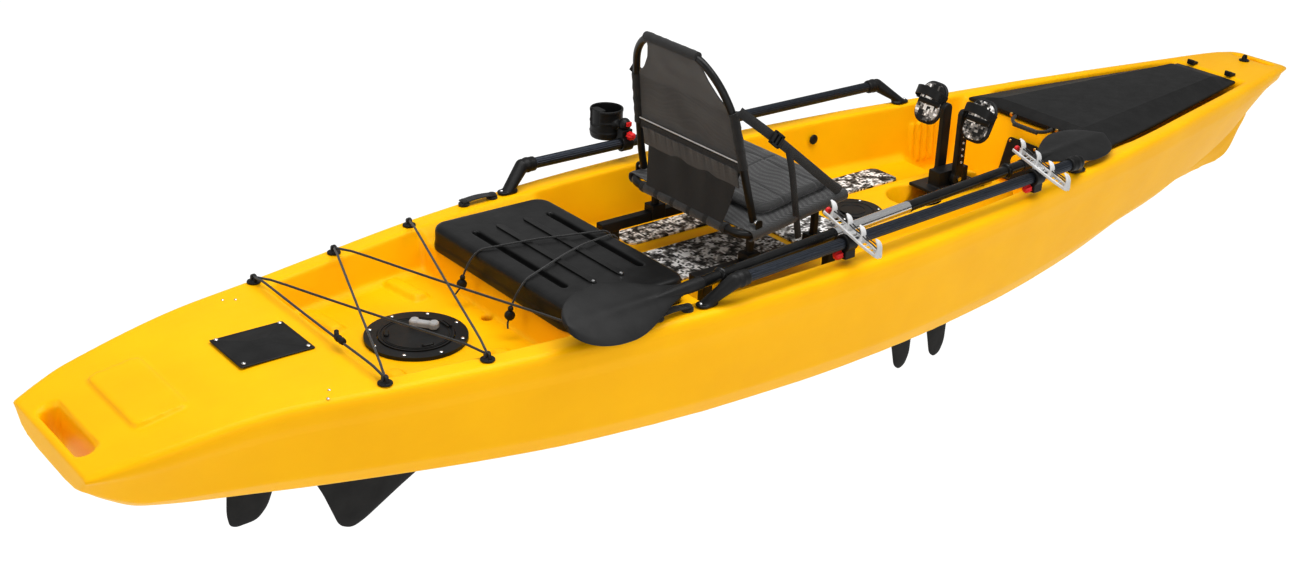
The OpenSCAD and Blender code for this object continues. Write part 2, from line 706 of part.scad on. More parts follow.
// Mesh panel stretched inside the back frame
module seat_back_panel() {
    color(dark)
        hull() {
            translate([-398, 0, 462]) cube([3, 380, 6], center = true);
            translate([-446, 0, 690]) cube([3, 350, 6], center = true);
            translate([-488, 0, 812]) cube([3, 166, 6], center = true);
        }
}
module back_pivot_bolts() {
    color(steel) both_sides()
        translate([back_pivot[0], back_half + 6.5, back_pivot[1] + 15]) rotate([-90, 0, 0])
            cylinder(h = 9, d = 14);
}
STRAP = [[-452, 0, 716], [-118, 0, 446]];
module seat_straps() {
    color(black) both_sides() {
        a = STRAP[0];
        b = STRAP[1];
        lean = atan2(a[2] - b[2], b[0] - a[0]);
        translate([a[0], seat_half - 4, a[2]]) rotate([0, lean, 0])
            translate([10, 0, -14]) cube([norm(b - a) - 30, 2.5, 28]);
    }
}

// ---- Fin drive ----
drive_x = 578;
arm_z = 268;
arm_y = 34;
arm_t = 16;
fin_axis_z = -24;
FIN_X = [452, 606];
axle_d = 14;
module drive_housing() {
    color(black) difference() {
        union() {
            translate([drive_x - 60, -22, 120]) cube([120, 44, 170]);
            translate([drive_x - 95, -64, console_top + 0.6]) cube([190, 128, 10]);
            translate([drive_x - 110, -18, -8]) cube([220, 36, 140]);
            for (x = [FIN_X[0] - 16, FIN_X[1] - 16])
                translate([x, -11, fin_axis_z - 11]) cube([32, 22, 40]);
        }
        translate([drive_x, -40, arm_z]) rotate([-90, 0, 0]) cylinder(h = 80, d = axle_d);
        for (x = FIN_X) translate([x - 20, 0, fin_axis_z]) rotate([0, 90, 0]) cylinder(h = 40, d = 10);
    }
}
module drive_axles() {
    color(steel) {
        translate([drive_x, -arm_y - arm_t / 2 - 5, arm_z]) rotate([-90, 0, 0])
            cylinder(h = 2 * arm_y + arm_t + 10, d = axle_d - 0.1);
        for (x = FIN_X) translate([x - 36, 0, fin_axis_z]) rotate([0, 90, 0]) cylinder(h = 72, d = 9.9);
    }
}
module pedal_arm(side) {
    color(black) translate([drive_x, side * arm_y, arm_z]) difference() {
        union() {
            rotate([90, 0, 0]) translate([0, 0, -arm_t / 2]) cylinder(h = arm_t, d = 46);
            translate([-17, -arm_t / 2, 0]) cube([34, arm_t, arm_l]);
            translate([0, 0, arm_l]) rotate([90, 0, 0]) translate([0, 0, -arm_t / 2])
                cylinder(h = arm_t, d = 34);
            translate([0, side * (arm_t / 2), arm_l]) rotate([-side * 90, 0, 0])
                cylinder(h = 98, d = 12);
        }
        rotate([90, 0, 0]) translate([0, 0, -arm_t]) cylinder(h = 2 * arm_t, d = axle_d);
    }
}
module port_pedal_arm() { pedal_arm(1); }
module starboard_pedal_arm() { pedal_arm(-1); }
pedal_y = 96;
pedal_w = 96;
pedal_l = 128;
pedal_lean = 24;
module pedal(side) {
    color(black) translate([drive_x, side * pedal_y, arm_z + arm_l]) rotate([0, pedal_lean, 0])
        difference() {
            union() {
                rotate([90, 0, 0]) translate([0, 0, -42]) cylinder(h = 84, d = 24);
                translate([4, 0, 0]) rotate([0, 90, 0]) translate([-8, 0, 0])
                    round_box([pedal_l, pedal_w - 8, 10], 34);
                difference() {
                    translate([-38, -pedal_w / 2 + 2, -4]) cube([46, pedal_w - 4, 34]);
                    translate([-33, -pedal_w / 2 + 6, -6]) cube([60, pedal_w - 12, 40]);
                }
            }
            rotate([90, 0, 0]) translate([0, 0, -60]) cylinder(h = 120, d = 12.1);
        }
}
module port_pedal() { pedal(1); }
module starboard_pedal() { pedal(-1); }
fin_t = 9;
module drive_fin(x) {
    color(black) difference() {
        union() {
            for (s = [-1, 1])
                translate([x + s * 26 - 7, 0, fin_axis_z]) rotate([0, 90, 0]) cylinder(h = 14, d = 26);
            blade_xz([[x - 33, fin_axis_z - 18], [x + 33, fin_axis_z - 18], [x + 44, -120],
                [x + 40, -300], [x + 24, 10 - fin_depth], [x, -fin_depth], [x - 22, 18 - fin_depth],
                [x - 44, -240], [x - 46, -120]], fin_t);
            for (s = [-1, 1])
                translate([x + s * 26 - 7, -fin_t / 2, fin_axis_z - 18]) cube([14, fin_t, 12]);
        }
        translate([x - 40, 0, fin_axis_z]) rotate([0, 90, 0]) cylinder(h = 80, d = 10);
    }
}
module front_fin() { drive_fin(FIN_X[1]); }
module rear_fin() { drive_fin(FIN_X[0]); }
module bulkhead_plate() {
    color(black) translate([917, 20, 232]) rotate([0, -73.2, 0]) {
        round_box([130, 120, 5], 12);
        translate([0, 0, 5]) cylinder(h = 5, d = 56);
    }
}

// ---- Bow cover ----
cover_x0 = 948;
cover_x1 = 1806;
cover_top = 24;
cover_taper = 14;
function cover_half(x) = 0.93 * (beam(x) - lookup(x, SIDE_DECK)) - 2
    - cover_taper * (x - cover_x0) / (cover_x1 - cover_x0);
function cover_z(x) = lookup(x, [[cover_x0, sheer(cover_x0)], [cover_x1, sheer(cover_x1)]]) - 14;
module bow_cover() {
    xs = [cover_x0, 1100, 1300, 1500, 1700, cover_x1];
    rim = 12;
    color(black) difference() {
        hull() {
            for (x = xs, s = [-1, 1])
                translate([x, s * (cover_half(x) - 4), cover_z(x)]) cylinder(h = rim, r = 4, $fn = 16);
            for (s = [-1, 1]) {
                translate([cover_x0 + 60, s * 120, cover_z(cover_x0)])
                    cylinder(h = rim + cover_top, r = 6, $fn = 16);
                translate([cover_x1 - 60, s * 40, cover_z(cover_x1)])
                    cylinder(h = rim + cover_top - 8, r = 6, $fn = 16);
            }
        }
        hull() {
            for (x = [cover_x0 + 34, 1400, cover_x1 - 40], s = [-1, 1])
                translate([x, s * (cover_half(x) - 30), cover_z(x) - 1])
                    cylinder(h = 9, r = 4, $fn = 16);
            for (s = [-1, 1]) {
                translate([cover_x0 + 80, s * 112, cover_z(cover_x0)])
                    cylinder(h = rim + cover_top - 7, r = 6, $fn = 16);
                translate([cover_x1 - 80, s * 36, cover_z(cover_x1)])
                    cylinder(h = rim + cover_top - 15, r = 6, $fn = 16);
            }
        }
    }
}
hinge_x = cover_x1 + 14;
hinge_z = sheer(hinge_x) + 13;
module bow_cover_hinges() {
    color(black) both_sides() translate([hinge_x, 74, 0]) {
        translate([0, 12, hinge_z]) rotate([90, 0, 0]) cylinder(h = 24, d = 10);
        translate([-5, -12, sheer(hinge_x) + 1.5]) cube([30, 24, 8]);
    }
}
handle_z = cover_z(cover_x0) + 16;
handle_t = 11;
handle_droop = 18;
module bow_handle() {
    color(black) translate([cover_x0 - 7, 0, handle_z - 8]) rotate([0, -handle_droop, 0])
        translate([0, 0, -handle_t / 2]) linear_extrude(handle_t)
            polygon([[-2, 72], [-28, 72], [-43, 50], [-43, -50], [-28, -72], [-2, -72],
                [-2, -60], [-22, -60], [-31, -46], [-31, 46], [-22, 60], [-2, 60]]);
}
module bow_handle_screws() {
    color([0.8, 0.6, 0.25]) both_sides()
        translate([cover_x0 - 8, 90, handle_z - 8]) rotate([0, 90, 0]) cylinder(h = 3.6, d = 14);
}
module bow_cover_cord() {
    color(black) {
        z = cover_z(cover_x0);
        rod([cover_x0 - 8, -150, z - 6], [cover_x0 - 30, -150, z - 62], 4);
        translate([cover_x0 - 32, -141, z - 76]) rotate([90, 0, 0]) cylinder(h = 18, d = 24);
    }
}

// ---- Under the stern ----
module rudder() {
    color(black) {
        blade_xz([[-1622, 36], [-1690, 40], [-1742, 30], [-1750, -80], [-1744, -112], [-1728, -120],
            [-1676, -118], [-1648, -90], [-1624, -30]], 10);
        translate([rudder_x, 0, 10]) cylinder(h = 278, d = 20);
        translate([rudder_x, 0, 270]) cylinder(h = 14, d = 46);
    }
}
module skeg() {
    color(black) blade_xz([[-1572, 24], [-1400, 12], [-1200, -4], [-1060, -5], [-1010, -5],
        [-1180, -92], [-1300, -158], [-1395, -214], [-1432, -228], [-1466, -212], [-1505, -110]], 12);
}

hull_node();  // hull
stern_cover_plate();
stern_plate_screws();
deck_pad_eyes();
deck_bungee();
bungee_adjuster();
rear_hatch_ring();
rear_hatch_screws();
rear_hatch_lid();
rear_hatch_handle();
centre_hatch_ring();
centre_hatch_screws();
centre_hatch_lid();
storage_box_lid();
box_tie_cords();
box_cord_toggles();
port_rail_tube();
port_rail_castings();
starboard_rail_tube();
starboard_rail_castings();
rail_bolts();
rod_holder_clamp();
rod_holder_knob();
rod_holder_cup();
front_holder_clamp();
front_holder_knob();
front_holder_tray();
rear_holder_clamp();
rear_holder_knob();
rear_holder_tray();
paddle_shaft();
paddle_sleeve();
paddle_blades();
carry_handles();
deck_pads();
wall_plugs();
seat_rails();
seat_clips();
seat_frame();
seat_cushion();
seat_back_frame();
seat_back_panel();
seat_straps();
back_pivot_bolts();
drive_housing();
port_pedal_arm();
starboard_pedal_arm();
port_pedal();
starboard_pedal();
drive_axles();
front_fin();
rear_fin();
bulkhead_plate();
bow_cover();
bow_cover_hinges();
bow_handle();
bow_handle_screws();
bow_cover_cord();
rudder();
skeg();
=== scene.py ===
"""Looks of a sit-on-top fishing kayak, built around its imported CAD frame.

Metres, +X to the bow, +Y to port, +Z up, with the origin on the flat keel amidships.
"""
import json
import math

import bpy
import numpy as np
from mathutils import Matrix, Vector, noise


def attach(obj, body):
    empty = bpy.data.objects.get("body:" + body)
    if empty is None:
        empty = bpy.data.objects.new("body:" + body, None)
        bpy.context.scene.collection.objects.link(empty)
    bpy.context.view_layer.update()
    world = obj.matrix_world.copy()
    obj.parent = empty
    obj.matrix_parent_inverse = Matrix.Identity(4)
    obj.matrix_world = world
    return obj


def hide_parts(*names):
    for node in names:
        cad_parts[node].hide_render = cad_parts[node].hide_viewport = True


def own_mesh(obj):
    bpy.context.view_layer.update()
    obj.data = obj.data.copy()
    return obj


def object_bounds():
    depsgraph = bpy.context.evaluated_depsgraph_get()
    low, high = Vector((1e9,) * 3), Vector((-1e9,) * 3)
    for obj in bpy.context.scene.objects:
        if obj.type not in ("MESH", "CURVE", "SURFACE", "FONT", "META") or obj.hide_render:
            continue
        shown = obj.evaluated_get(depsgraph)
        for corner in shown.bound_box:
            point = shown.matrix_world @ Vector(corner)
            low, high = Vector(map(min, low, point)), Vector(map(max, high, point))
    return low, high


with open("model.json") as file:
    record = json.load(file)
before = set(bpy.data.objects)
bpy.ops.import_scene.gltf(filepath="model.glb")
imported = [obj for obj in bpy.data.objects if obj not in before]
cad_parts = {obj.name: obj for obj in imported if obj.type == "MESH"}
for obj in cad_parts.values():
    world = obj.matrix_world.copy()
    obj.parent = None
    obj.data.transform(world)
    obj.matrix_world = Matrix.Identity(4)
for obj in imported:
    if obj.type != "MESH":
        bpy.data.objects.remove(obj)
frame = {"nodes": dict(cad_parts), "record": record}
cad_low, cad_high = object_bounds()
NODES = frame["nodes"]
SLOT_OF = {part["node"]: part["material_slot"] for part in frame["record"]["subparts"]}
BODY_OF = {node: body for body, nodes in frame["record"]["behaviour"]["bodies"].items() for node in nodes}
RNG = np.random.default_rng(7)
SCENE = bpy.context.scene
SCENE.view_settings.view_transform = "Standard"
SCENE.view_settings.gamma = 0.84
MM = 0.001

# ---------------------------------------------------------------- camera, floor and light
CAMERA_AT = Vector((-3.136, -3.233, 2.103))
CAMERA_YAW, CAMERA_PITCH, CAMERA_ROLL = (math.radians(a) for a in (38.78, -24.62, 2.27))
LENS_MM = 48.4
FLOOR_Z = cad_low.z - 0.012
SIDES = ((1, "port"), (-1, "starboard"))


def make_camera():
    data = bpy.data.cameras.new("camera")
    data.sensor_width = 36
    data.lens = LENS_MM
    camera = bpy.data.objects.new("camera", data)
    SCENE.collection.objects.link(camera)
    forward = Vector((math.cos(CAMERA_PITCH) * math.sin(CAMERA_YAW),
                      math.cos(CAMERA_PITCH) * math.cos(CAMERA_YAW), math.sin(CAMERA_PITCH)))
    level = Vector((math.cos(CAMERA_YAW), -math.sin(CAMERA_YAW), 0))
    above = level.cross(forward)
    right = level * math.cos(CAMERA_ROLL) + above * math.sin(CAMERA_ROLL)
    up = above * math.cos(CAMERA_ROLL) - level * math.sin(CAMERA_ROLL)
    turn = Matrix((right, up, -forward)).transposed().to_4x4()
    camera.matrix_world = Matrix.Translation(CAMERA_AT) @ turn
    SCENE.camera = camera


def make_light(name, at, aim, size, watts):
    data = bpy.data.lights.new(name, "AREA")
    data.shape = "RECTANGLE"
    data.size, data.size_y = size
    data.energy = watts
    lamp = bpy.data.objects.new(name, data)
    SCENE.collection.objects.link(lamp)
    lamp.location = at
    lamp.rotation_euler = (Vector(aim) - Vector(at)).to_track_quat("-Z", "Y").to_euler()


def make_studio():
    world = bpy.data.worlds.new("studio")
    world.use_nodes = True
    world.node_tree.nodes["Background"].inputs[0].default_value = (1, 1, 1, 1)
    world.node_tree.nodes["Background"].inputs[1].default_value = 0.5
    SCENE.world = world
    make_light("overhead", (-0.3, -0.4, 3.6), (0.1, 0, 0.2), (4.2, 1.8), 135)
    make_light("near_side", (-1.2, -4.2, 1.9), (0.2, 0, 0.2), (4.5, 1.6), 48)
    make_light("stern_fill", (-4.6, 0.6, 2.0), (-1, 0, 0.2), (2.0, 1.6), 26)
    mesh = bpy.data.meshes.new("floor")
    half = 40.0
    mesh.from_pydata([(-half, -half, FLOOR_Z), (half, -half, FLOOR_Z), (half, half, FLOOR_Z),
                      (-half, half, FLOOR_Z)], [], [(0, 1, 2, 3)])
    floor = bpy.data.objects.new("floor", mesh)
    SCENE.collection.objects.link(floor)
    floor.data.materials.append(floor_material())


# ---------------------------------------------------------------- material helpers
class Nodes:
    """A short way to write a node material."""

    def __init__(self, name):
        self.material = bpy.data.materials.new(name)
        self.material.use_nodes = True
        self.tree = self.material.node_tree
        self.shader = self.tree.nodes["Principled BSDF"]

    def add(self, kind, **values):
        node = self.tree.nodes.new(kind)
        for key, value in values.items():
            setattr(node, key, value)
        return node

    def link(self, a, b):
        self.tree.links.new(a, b)

    def set(self, **values):
        for key, value in values.items():
            self.shader.inputs[key.replace("_", " ")].default_value = value

    def place(self, scale=(1, 1, 1)):
        """Object coordinates, scaled."""
        coordinates = self.add("ShaderNodeTexCoord")
        mapping = self.add("ShaderNodeMapping")
        mapping.inputs["Scale"].default_value = scale
        self.link(coordinates.outputs["Object"], mapping.inputs["Vector"])
        return mapping.outputs["Vector"]

    def noise(self, scale, detail=3, vector=None, roughness=0.5):
        node = self.add("ShaderNodeTexNoise")
        node.inputs["Scale"].default_value = scale
        node.inputs["Detail"].default_value = detail
        node.inputs["Roughness"].default_value = roughness
        self.link(vector or self.place(), node.inputs["Vector"])
        return node.outputs["Fac"]

    def wave(self, scale, axis="X", distortion=0.0, vector=None):
        node = self.add("ShaderNodeTexWave", bands_direction=axis)
        node.inputs["Scale"].default_value = scale
        node.inputs["Distortion"].default_value = distortion
        self.link(vector or self.place(), node.inputs["Vector"])
        return node.outputs["Fac"]

    def math(self, operation, a, b=0.0):
        node = self.add("ShaderNodeMath", operation=operation)
        for socket, value in zip(node.inputs, (a, b)):
            if isinstance(value, (int, float)):
                socket.default_value = value
            else:
                self.link(value, socket)
        return node.outputs[0]

    def ramp(self, value, stops, steps="LINEAR"):
        """Colour ramp; stops are (position, colour) and a colour may be one grey number."""
        node = self.add("ShaderNodeValToRGB")
        node.color_ramp.interpolation = steps
        elements = node.color_ramp.elements
        while len(elements) < len(stops):
            elements.new(0.5)
        for element, (position, colour) in zip(elements, stops):
            element.position = position
            grey = isinstance(colour, (int, float))
            element.color = (colour,) * 3 + (1,) if grey else (*colour, 1)
        self.link(value, node.inputs[0])
        return node.outputs[0]

    def colour(self, value, stops, steps="LINEAR"):
        self.link(self.ramp(value, stops, steps), self.shader.inputs["Base Color"])

    def rough(self, value, low, high):
        node = self.add("ShaderNodeMapRange")
        node.inputs["To Min"].default_value = low
        node.inputs["To Max"].default_value = high
        self.link(value, node.inputs["Value"])
        self.link(node.outputs[0], self.shader.inputs["Roughness"])

    def bump(self, *layers):
        """Layers of (height, distance in metres), stacked."""
        previous = None
        for height, distance in layers:
            node = self.add("ShaderNodeBump")
            node.inputs["Strength"].default_value = 1
            node.inputs["Distance"].default_value = distance
            self.link(height, node.inputs["Height"])
            if previous:
                self.link(previous, node.inputs["Normal"])
            previous = node.outputs[0]
        self.link(previous, self.shader.inputs["Normal"])


def floor_material():
    """Evenly lit white paper."""
    n = Nodes("floor_paper")
    n.colour(n.noise(0.4, 2), [(0.3, 0.02), (0.7, 0.03)])
    n.rough(n.noise(30, 3), 0.9, 1.0)
    n.bump((n.noise(90, 4), 0.0002))
    n.link(n.ramp(n.noise(0.3, 1), [(0.3, 0.97), (0.7, 1.0)]), n.shader.inputs["Emission Color"])
    n.set(Emission_Strength=1.05, Specular_IOR_Level=0.0)
    return n.material


def hull_material():
    """Rotomoulded polyethylene: a slight orange peel, soft waviness and faint handling marks."""
    n = Nodes("hull_polyethylene")
    mottle = n.noise(5, 4)
    n.colour(mottle, [(0.3, (0.9, 0.475, 0.0)), (0.7, (0.95, 0.52, 0.0))])
    streaks = n.noise(14, 6, n.place((1, 7, 9)), 0.65)
    n.rough(streaks, 0.34, 0.52)
    n.bump((n.noise(7, 2), 0.0012), (n.noise(520, 2), 0.00006), (n.noise(70, 3), 0.00012))
    n.set(Subsurface_Weight=0.08, Subsurface_Scale=0.006, Specular_IOR_Level=0.17)
    n.shader.inputs["Subsurface Radius"].default_value = (1.0, 0.45, 0.05)
    return n.material


def plastic_material(name, dark, light, rough=(0.38, 0.55), grain=0.00012, grain_scale=420):
    """Moulded plastic with a fine grain and a little colour and gloss variation."""
    n = Nodes(name)
    n.colour(n.noise(22, 5), [(0.32, dark), (0.7, light)])
    n.rough(n.noise(45, 5, roughness=0.7), *rough)
    n.bump((n.noise(grain_scale, 3), grain), (n.noise(24, 2), 0.0006))
    n.set(Specular_IOR_Level=0.3)
    return n.material


def metal_material(name, dark, light, rough=(0.2, 0.4), stretch=(1, 60, 60)):
    n = Nodes(name)
    fine = n.noise(30, 5, n.place(stretch))
    n.colour(fine, [(0.3, dark), (0.7, light)])
    n.rough(fine, *rough)
    n.bump((fine, 0.00005))
    n.set(Metallic=1.0)
    return n.material


def woven_material(name, dark, light, pitch=0.0016, sheen=0.4):
    """Two crossing sets of threads with fuzz and slow fading."""
    n = Nodes(name)
    bands = math.pi / (10 * pitch)
    place = n.place()
    over = n.wave(bands, "X", 0.6, place)
    under = n.wave(bands, "Z", 0.6, place)
    across = n.wave(bands, "Y", 0.6, place)
    weave = n.math("MAXIMUM", n.math("MULTIPLY", over, under), n.math("MULTIPLY", across, under))
    fade = n.noise(16, 4)
    n.colour(n.math("MULTIPLY", n.math("ADD", weave, 0.35), fade), [(0.1, dark), (0.65, light)])
    n.rough(fade, 0.68, 0.92)
    n.bump((weave, 0.0005), (n.noise(900, 2), 0.0002))
    n.set(Sheen_Weight=sheen, Sheen_Roughness=0.5)
    return n.material


def braid_material(name, dark, light, scale=260):
    n = Nodes(name)
    one = n.wave(scale, "DIAGONAL", 0.4)
    two = n.wave(scale, "DIAGONAL", 0.4, n.place((-1, 1, 1)))
    braid = n.math("MAXIMUM", one, two)
    n.colour(n.math("MULTIPLY", braid, n.noise(60, 3)), [(0.1, dark), (0.6, light)])
    n.rough(braid, 0.55, 0.85)
    n.bump((braid, 0.0004))
    n.set(Sheen_Weight=0.3)
    return n.material


CAMO_BLOCK = 0.0065


def camo_material():
    """Foam with a four-tone digital camouflage of small blocks and a rough skin."""
    n = Nodes("camo_foam")
    blocks = n.add("ShaderNodeVectorMath", operation="SNAP")
    blocks.inputs[1].default_value = (CAMO_BLOCK,) * 3
    n.link(n.place(), blocks.inputs[0])
    n.colour(n.noise(30, 4, blocks.outputs[0], 0.72),
             [(0.0, 0.01), (0.44, (0.1, 0.095, 0.09)), (0.49, (0.36, 0.35, 0.34)),
              (0.535, (0.85, 0.84, 0.83)), (0.61, 0.02)], "CONSTANT")
    n.rough(n.noise(200, 3), 0.75, 0.95)
    n.bump((n.noise(600, 3), 0.0004), (n.wave(95, "X"), 0.0003))
    return n.material


MATERIALS = {
    "hull_shell": hull_material(),
    "black_plastic": plastic_material("black_plastic", 0.006, 0.014),
    "steel": metal_material("steel", 0.5, 0.75, (0.18, 0.35)),
    "elastic_cord": braid_material("elastic_cord", 0.006, 0.03),
    "hatch_plastic": plastic_material("hatch_plastic", 0.008, 0.015, (0.36, 0.5)),
    "grey_plastic": plastic_material("grey_plastic", 0.3, 0.42, (0.4, 0.5)),
    "box_lid_plastic": plastic_material("box_lid_plastic", 0.007, 0.013, (0.3, 0.42), 0.00005, 300),
    "rail_aluminium": metal_material("rail_aluminium", (0.035, 0.04, 0.05), (0.08, 0.09, 0.11), (0.3, 0.45)),
    "red_plastic": plastic_material("red_plastic", (0.5, 0.012, 0.016), (0.72, 0.03, 0.03), (0.22, 0.36)),
    "tray_plastic": plastic_material("tray_plastic", 0.5, 0.64, (0.3, 0.45)),
    "shaft_plastic": plastic_material("shaft_plastic", 0.007, 0.014, (0.18, 0.3)),
    "sleeve_aluminium": metal_material("sleeve_aluminium", 0.62, 0.82, (0.16, 0.3)),
    "blade_plastic": plastic_material("blade_plastic", 0.010, 0.017, (0.4, 0.55), 0.0002, 350),
    "webbing": woven_material("webbing", 0.004, 0.016, 0.0011, 0.15),
    "foam_pad": camo_material(),
    "seat_tube": plastic_material("seat_tube", 0.007, 0.014, (0.25, 0.4)),
    "seat_fabric": woven_material("seat_fabric", 0.009, 0.05, 0.0022),
    "drive_plastic": plastic_material("drive_plastic", 0.008, 0.02, (0.35, 0.5)),
    "pedal_plastic": plastic_material("pedal_plastic", 0.01, 0.025),
    "fin_rubber": plastic_material("fin_rubber", 0.01, 0.02, (0.5, 0.7), 0.0001, 200),
    "cover_plastic": plastic_material("cover_plastic", 0.008, 0.014, (0.45, 0.6), 0.0004, 260),
    "rope": braid_material("rope", 0.006, 0.03, 160),
    "brass": metal_material("brass", (0.6, 0.36, 0.1), (0.8, 0.55, 0.2), (0.15, 0.3)),
}


# ---------------------------------------------------------------- mesh helpers
def new_object(name, vertices, faces, smooth=True):
    mesh = bpy.data.meshes.new(name)
    mesh.from_pydata([tuple(map(float, v)) for v in vertices], [], [tuple(map(int, f)) for f in faces])
    mesh.validate()
    made = bpy.data.objects.new(name, mesh)
    SCENE.collection.objects.link(made)
    if smooth:
        mesh.shade_smooth()
    return made


def grid_faces(rows, columns, closed_columns=True, offset=0):
    i, j = np.meshgrid(np.arange(rows - 1), np.arange(columns if closed_columns else columns - 1),
                       indexing="ij")
    k = (j + 1) % columns
    a, b = i * columns + j, i * columns + k
    return (np.stack([a, b, b + columns, a + columns], -1).reshape(-1, 4) + offset).tolist()


def capped(rings, flip=False):
    """Closed skin, as (vertices, faces), over rings of equally many points, with a cap on each end."""
    rows, count = len(rings), len(rings[0])
    faces = grid_faces(rows, count)
    faces += [list(range(count))[::-1], list(range((rows - 1) * count, rows * count))]
    return np.vstack(rings), [f[::-1] for f in faces] if flip else faces


def apply_modifiers(obj):
    graph = bpy.context.evaluated_depsgraph_get()
    mesh = bpy.data.meshes.new_from_object(obj.evaluated_get(graph))
    old = obj.data
    obj.modifiers.clear()
    obj.data = mesh
    bpy.data.meshes.remove(old)
    return obj


def smooth_by_angle(obj, degrees=35):
    obj.data.shade_smooth()
    obj.data.set_sharp_from_angle(angle=math.radians(degrees))


def add_bevel(obj, width):
    bevel = obj.modifiers.new("bevel", "BEVEL")
    bevel.width = width
    bevel.segments = 2
    bevel.limit_method = "ANGLE"
    bevel.angle_limit = math.radians(40)
    bevel.harden_normals = False


# ---------------------------------------------------------------- hull
# Stations along the hull: x, half beam, deck height, chine half width, chine height, keel height, mm
STATIONS = np.array([
    [-2130, 208, 243, 135, 190, 184],
    [-2070, 230, 262, 142, 146, 132],
    [-2000, 250, 280, 152, 112, 92],
    [-1750, 292, 318, 215, 90, 56],
    [-1500, 342, 323, 275, 74, 30],
    [-1250, 390, 329, 325, 58, 12],
    [-1000, 432, 336, 358, 42, 0],
    [-600, 470, 345, 388, 28, 0],
    [-100, 474, 352, 392, 24, 0],
    [400, 430, 359, 350, 28, 0],
    [800, 370, 365, 285, 42, 0],
    [1150, 313, 370, 208, 64, 6],
    [1450, 254, 375, 136, 78, 15],
    [1700, 203, 378, 60, 96, 26],
    [1850, 171, 380, 38, 140, 36],
    [1950, 149, 381, 28, 196, 42],
    [2000, 137, 381, 26, 228, 66],
    [2040, 126, 380, 26, 254, 136],
    [2090, 111, 376, 42, 284, 226],
    [2130, 97, 368, 60, 306, 280],
], float)
TANK_FLOOR, COCKPIT_FLOOR, CONSOLE_TOP, CONSOLE_HALF = 232, 195, 232, 110
DECK = 400  # a height above any deck: the deck is closed there
LEDGE = 345  # height of the ledges under the two ends of the bow cover
FLOOR = [(-1540, DECK), (-1440, TANK_FLOOR), (-1025, TANK_FLOOR), (-1008, 300), (-640, 300),
         (-610, COCKPIT_FLOOR), (700, COCKPIT_FLOOR), (780, 130), (890, 130), (955, LEDGE),
         (1050, LEDGE), (1110, 150), (1690, 190), (1760, LEDGE), (1812, LEDGE), (1826, DECK)]
CENTRE = [(-1540, DECK), (-1440, TANK_FLOOR), (-1025, TANK_FLOOR), (-1008, 300), (-996, 300),
          (-976, 190), (-692, 190), (-672, 300), (-640, 300), (-610, CONSOLE_TOP),
          (740, CONSOLE_TOP), (790, 130), (890, 130), (955, LEDGE), (1050, LEDGE), (1110, 150),
          (1690, 190), (1760, LEDGE), (1812, LEDGE), (1826, DECK)]
CENTRE_HALF = [(-1025, CONSOLE_HALF), (-1008, 270), (-665, 270), (-646, CONSOLE_HALF),
               (1000, CONSOLE_HALF), (1100, 60), (1700, 40), (2130, 12)]
SIDE_DECK = [(-2130, 60), (-1500, 62), (-1000, 72), (0, 78), (700, 56), (1200, 48), (1800, 40),
             (2130, 30)]
BEAM, SHEER, CHINE_Y, CHINE_Z, KEEL = 1, 2, 3, 4, 5
HULL_STEP = 12
HULL_VOXEL = 5
REAR_HATCH_X, CENTRE_HATCH_X, POST_X = -1242, 190, -1650
STERN_SLOT_X, BOW_SLOT_X = -2088, 2070
THROUGH = -40  # a height below the hull, where a cut through it starts


def lookup(table, x):
    return np.interp(x, [p[0] for p in table], [p[1] for p in table])


def hull_at(x, k):
    """Cubic curve through column k of STATIONS."""
    xs, ys = STATIONS[:, 0], STATIONS[:, k]
    slope = np.empty(len(xs))
    slope[1:-1] = (ys[2:] - ys[:-2]) / (xs[2:] - xs[:-2])
    slope[0] = (ys[1] - ys[0]) / (xs[1] - xs[0])
    slope[-1] = (ys[-1] - ys[-2]) / (xs[-1] - xs[-2])
    i = np.clip(np.searchsorted(xs, x, side="right") - 1, 0, len(xs) - 2)
    h = xs[i + 1] - xs[i]
    t = (x - xs[i]) / h
    s = 1 - t
    return (s * s * (1 + 2 * t) * ys[i] + t * t * (1 + 2 * s) * ys[i + 1]
            + h * s * t * (s * slope[i] - t * slope[i + 1]))


def sheer(x):
    return hull_at(x, SHEER)


def side_mid(x):
    """Middle of the side deck."""
    return hull_at(x, BEAM) - lookup(SIDE_DECK, x) / 2 - 4


def half_section(x):
    w, zs, c, zc = (float(hull_at(x, k)) for k in (BEAM, SHEER, CHINE_Y, CHINE_Z))
    zk = max(0.0, float(hull_at(x, KEEL)))
    inner = w - lookup(SIDE_DECK, x)
    zf, zt = min(zs, lookup(FLOOR, x)), min(zs, lookup(CENTRE, x))
    half = min(lookup(CENTRE_HALF, x), 0.8 * inner)
    drop = zs - zf
    side = zs - zc
    crease = zs - 0.3 * side
    return [(0, zk), (0.5 * c, zk), (0.82 * c, zk + 0.35 * (zc - zk)), (c, zc),
            (c + 0.5 * (w - c - 12), zc + 0.24 * (crease - zc)), (w - 13, crease),
            (w - 3, zs - min(58, 0.2 * side)), (w, zs - min(24, 0.12 * side)),
            (w - 4, zs - min(8, 0.05 * side)), (w - 16, zs), (inner + 7, zs), (inner, zs - min(4, drop)),
            (0.96 * inner, zs - 0.45 * drop), (0.92 * inner, zs - 0.9 * drop),
            (0.86 * inner, zf), (half + 0.09 * inner, zf), (half, zt), (0, zt)]


# Pieces that each stretch of the half section is cut into, from the keel round to the deck centre
CUTS = [12, 8, 8, 10, 12, 6, 4, 2, 2, 6, 1, 5, 6, 3, 9, 4, 12]


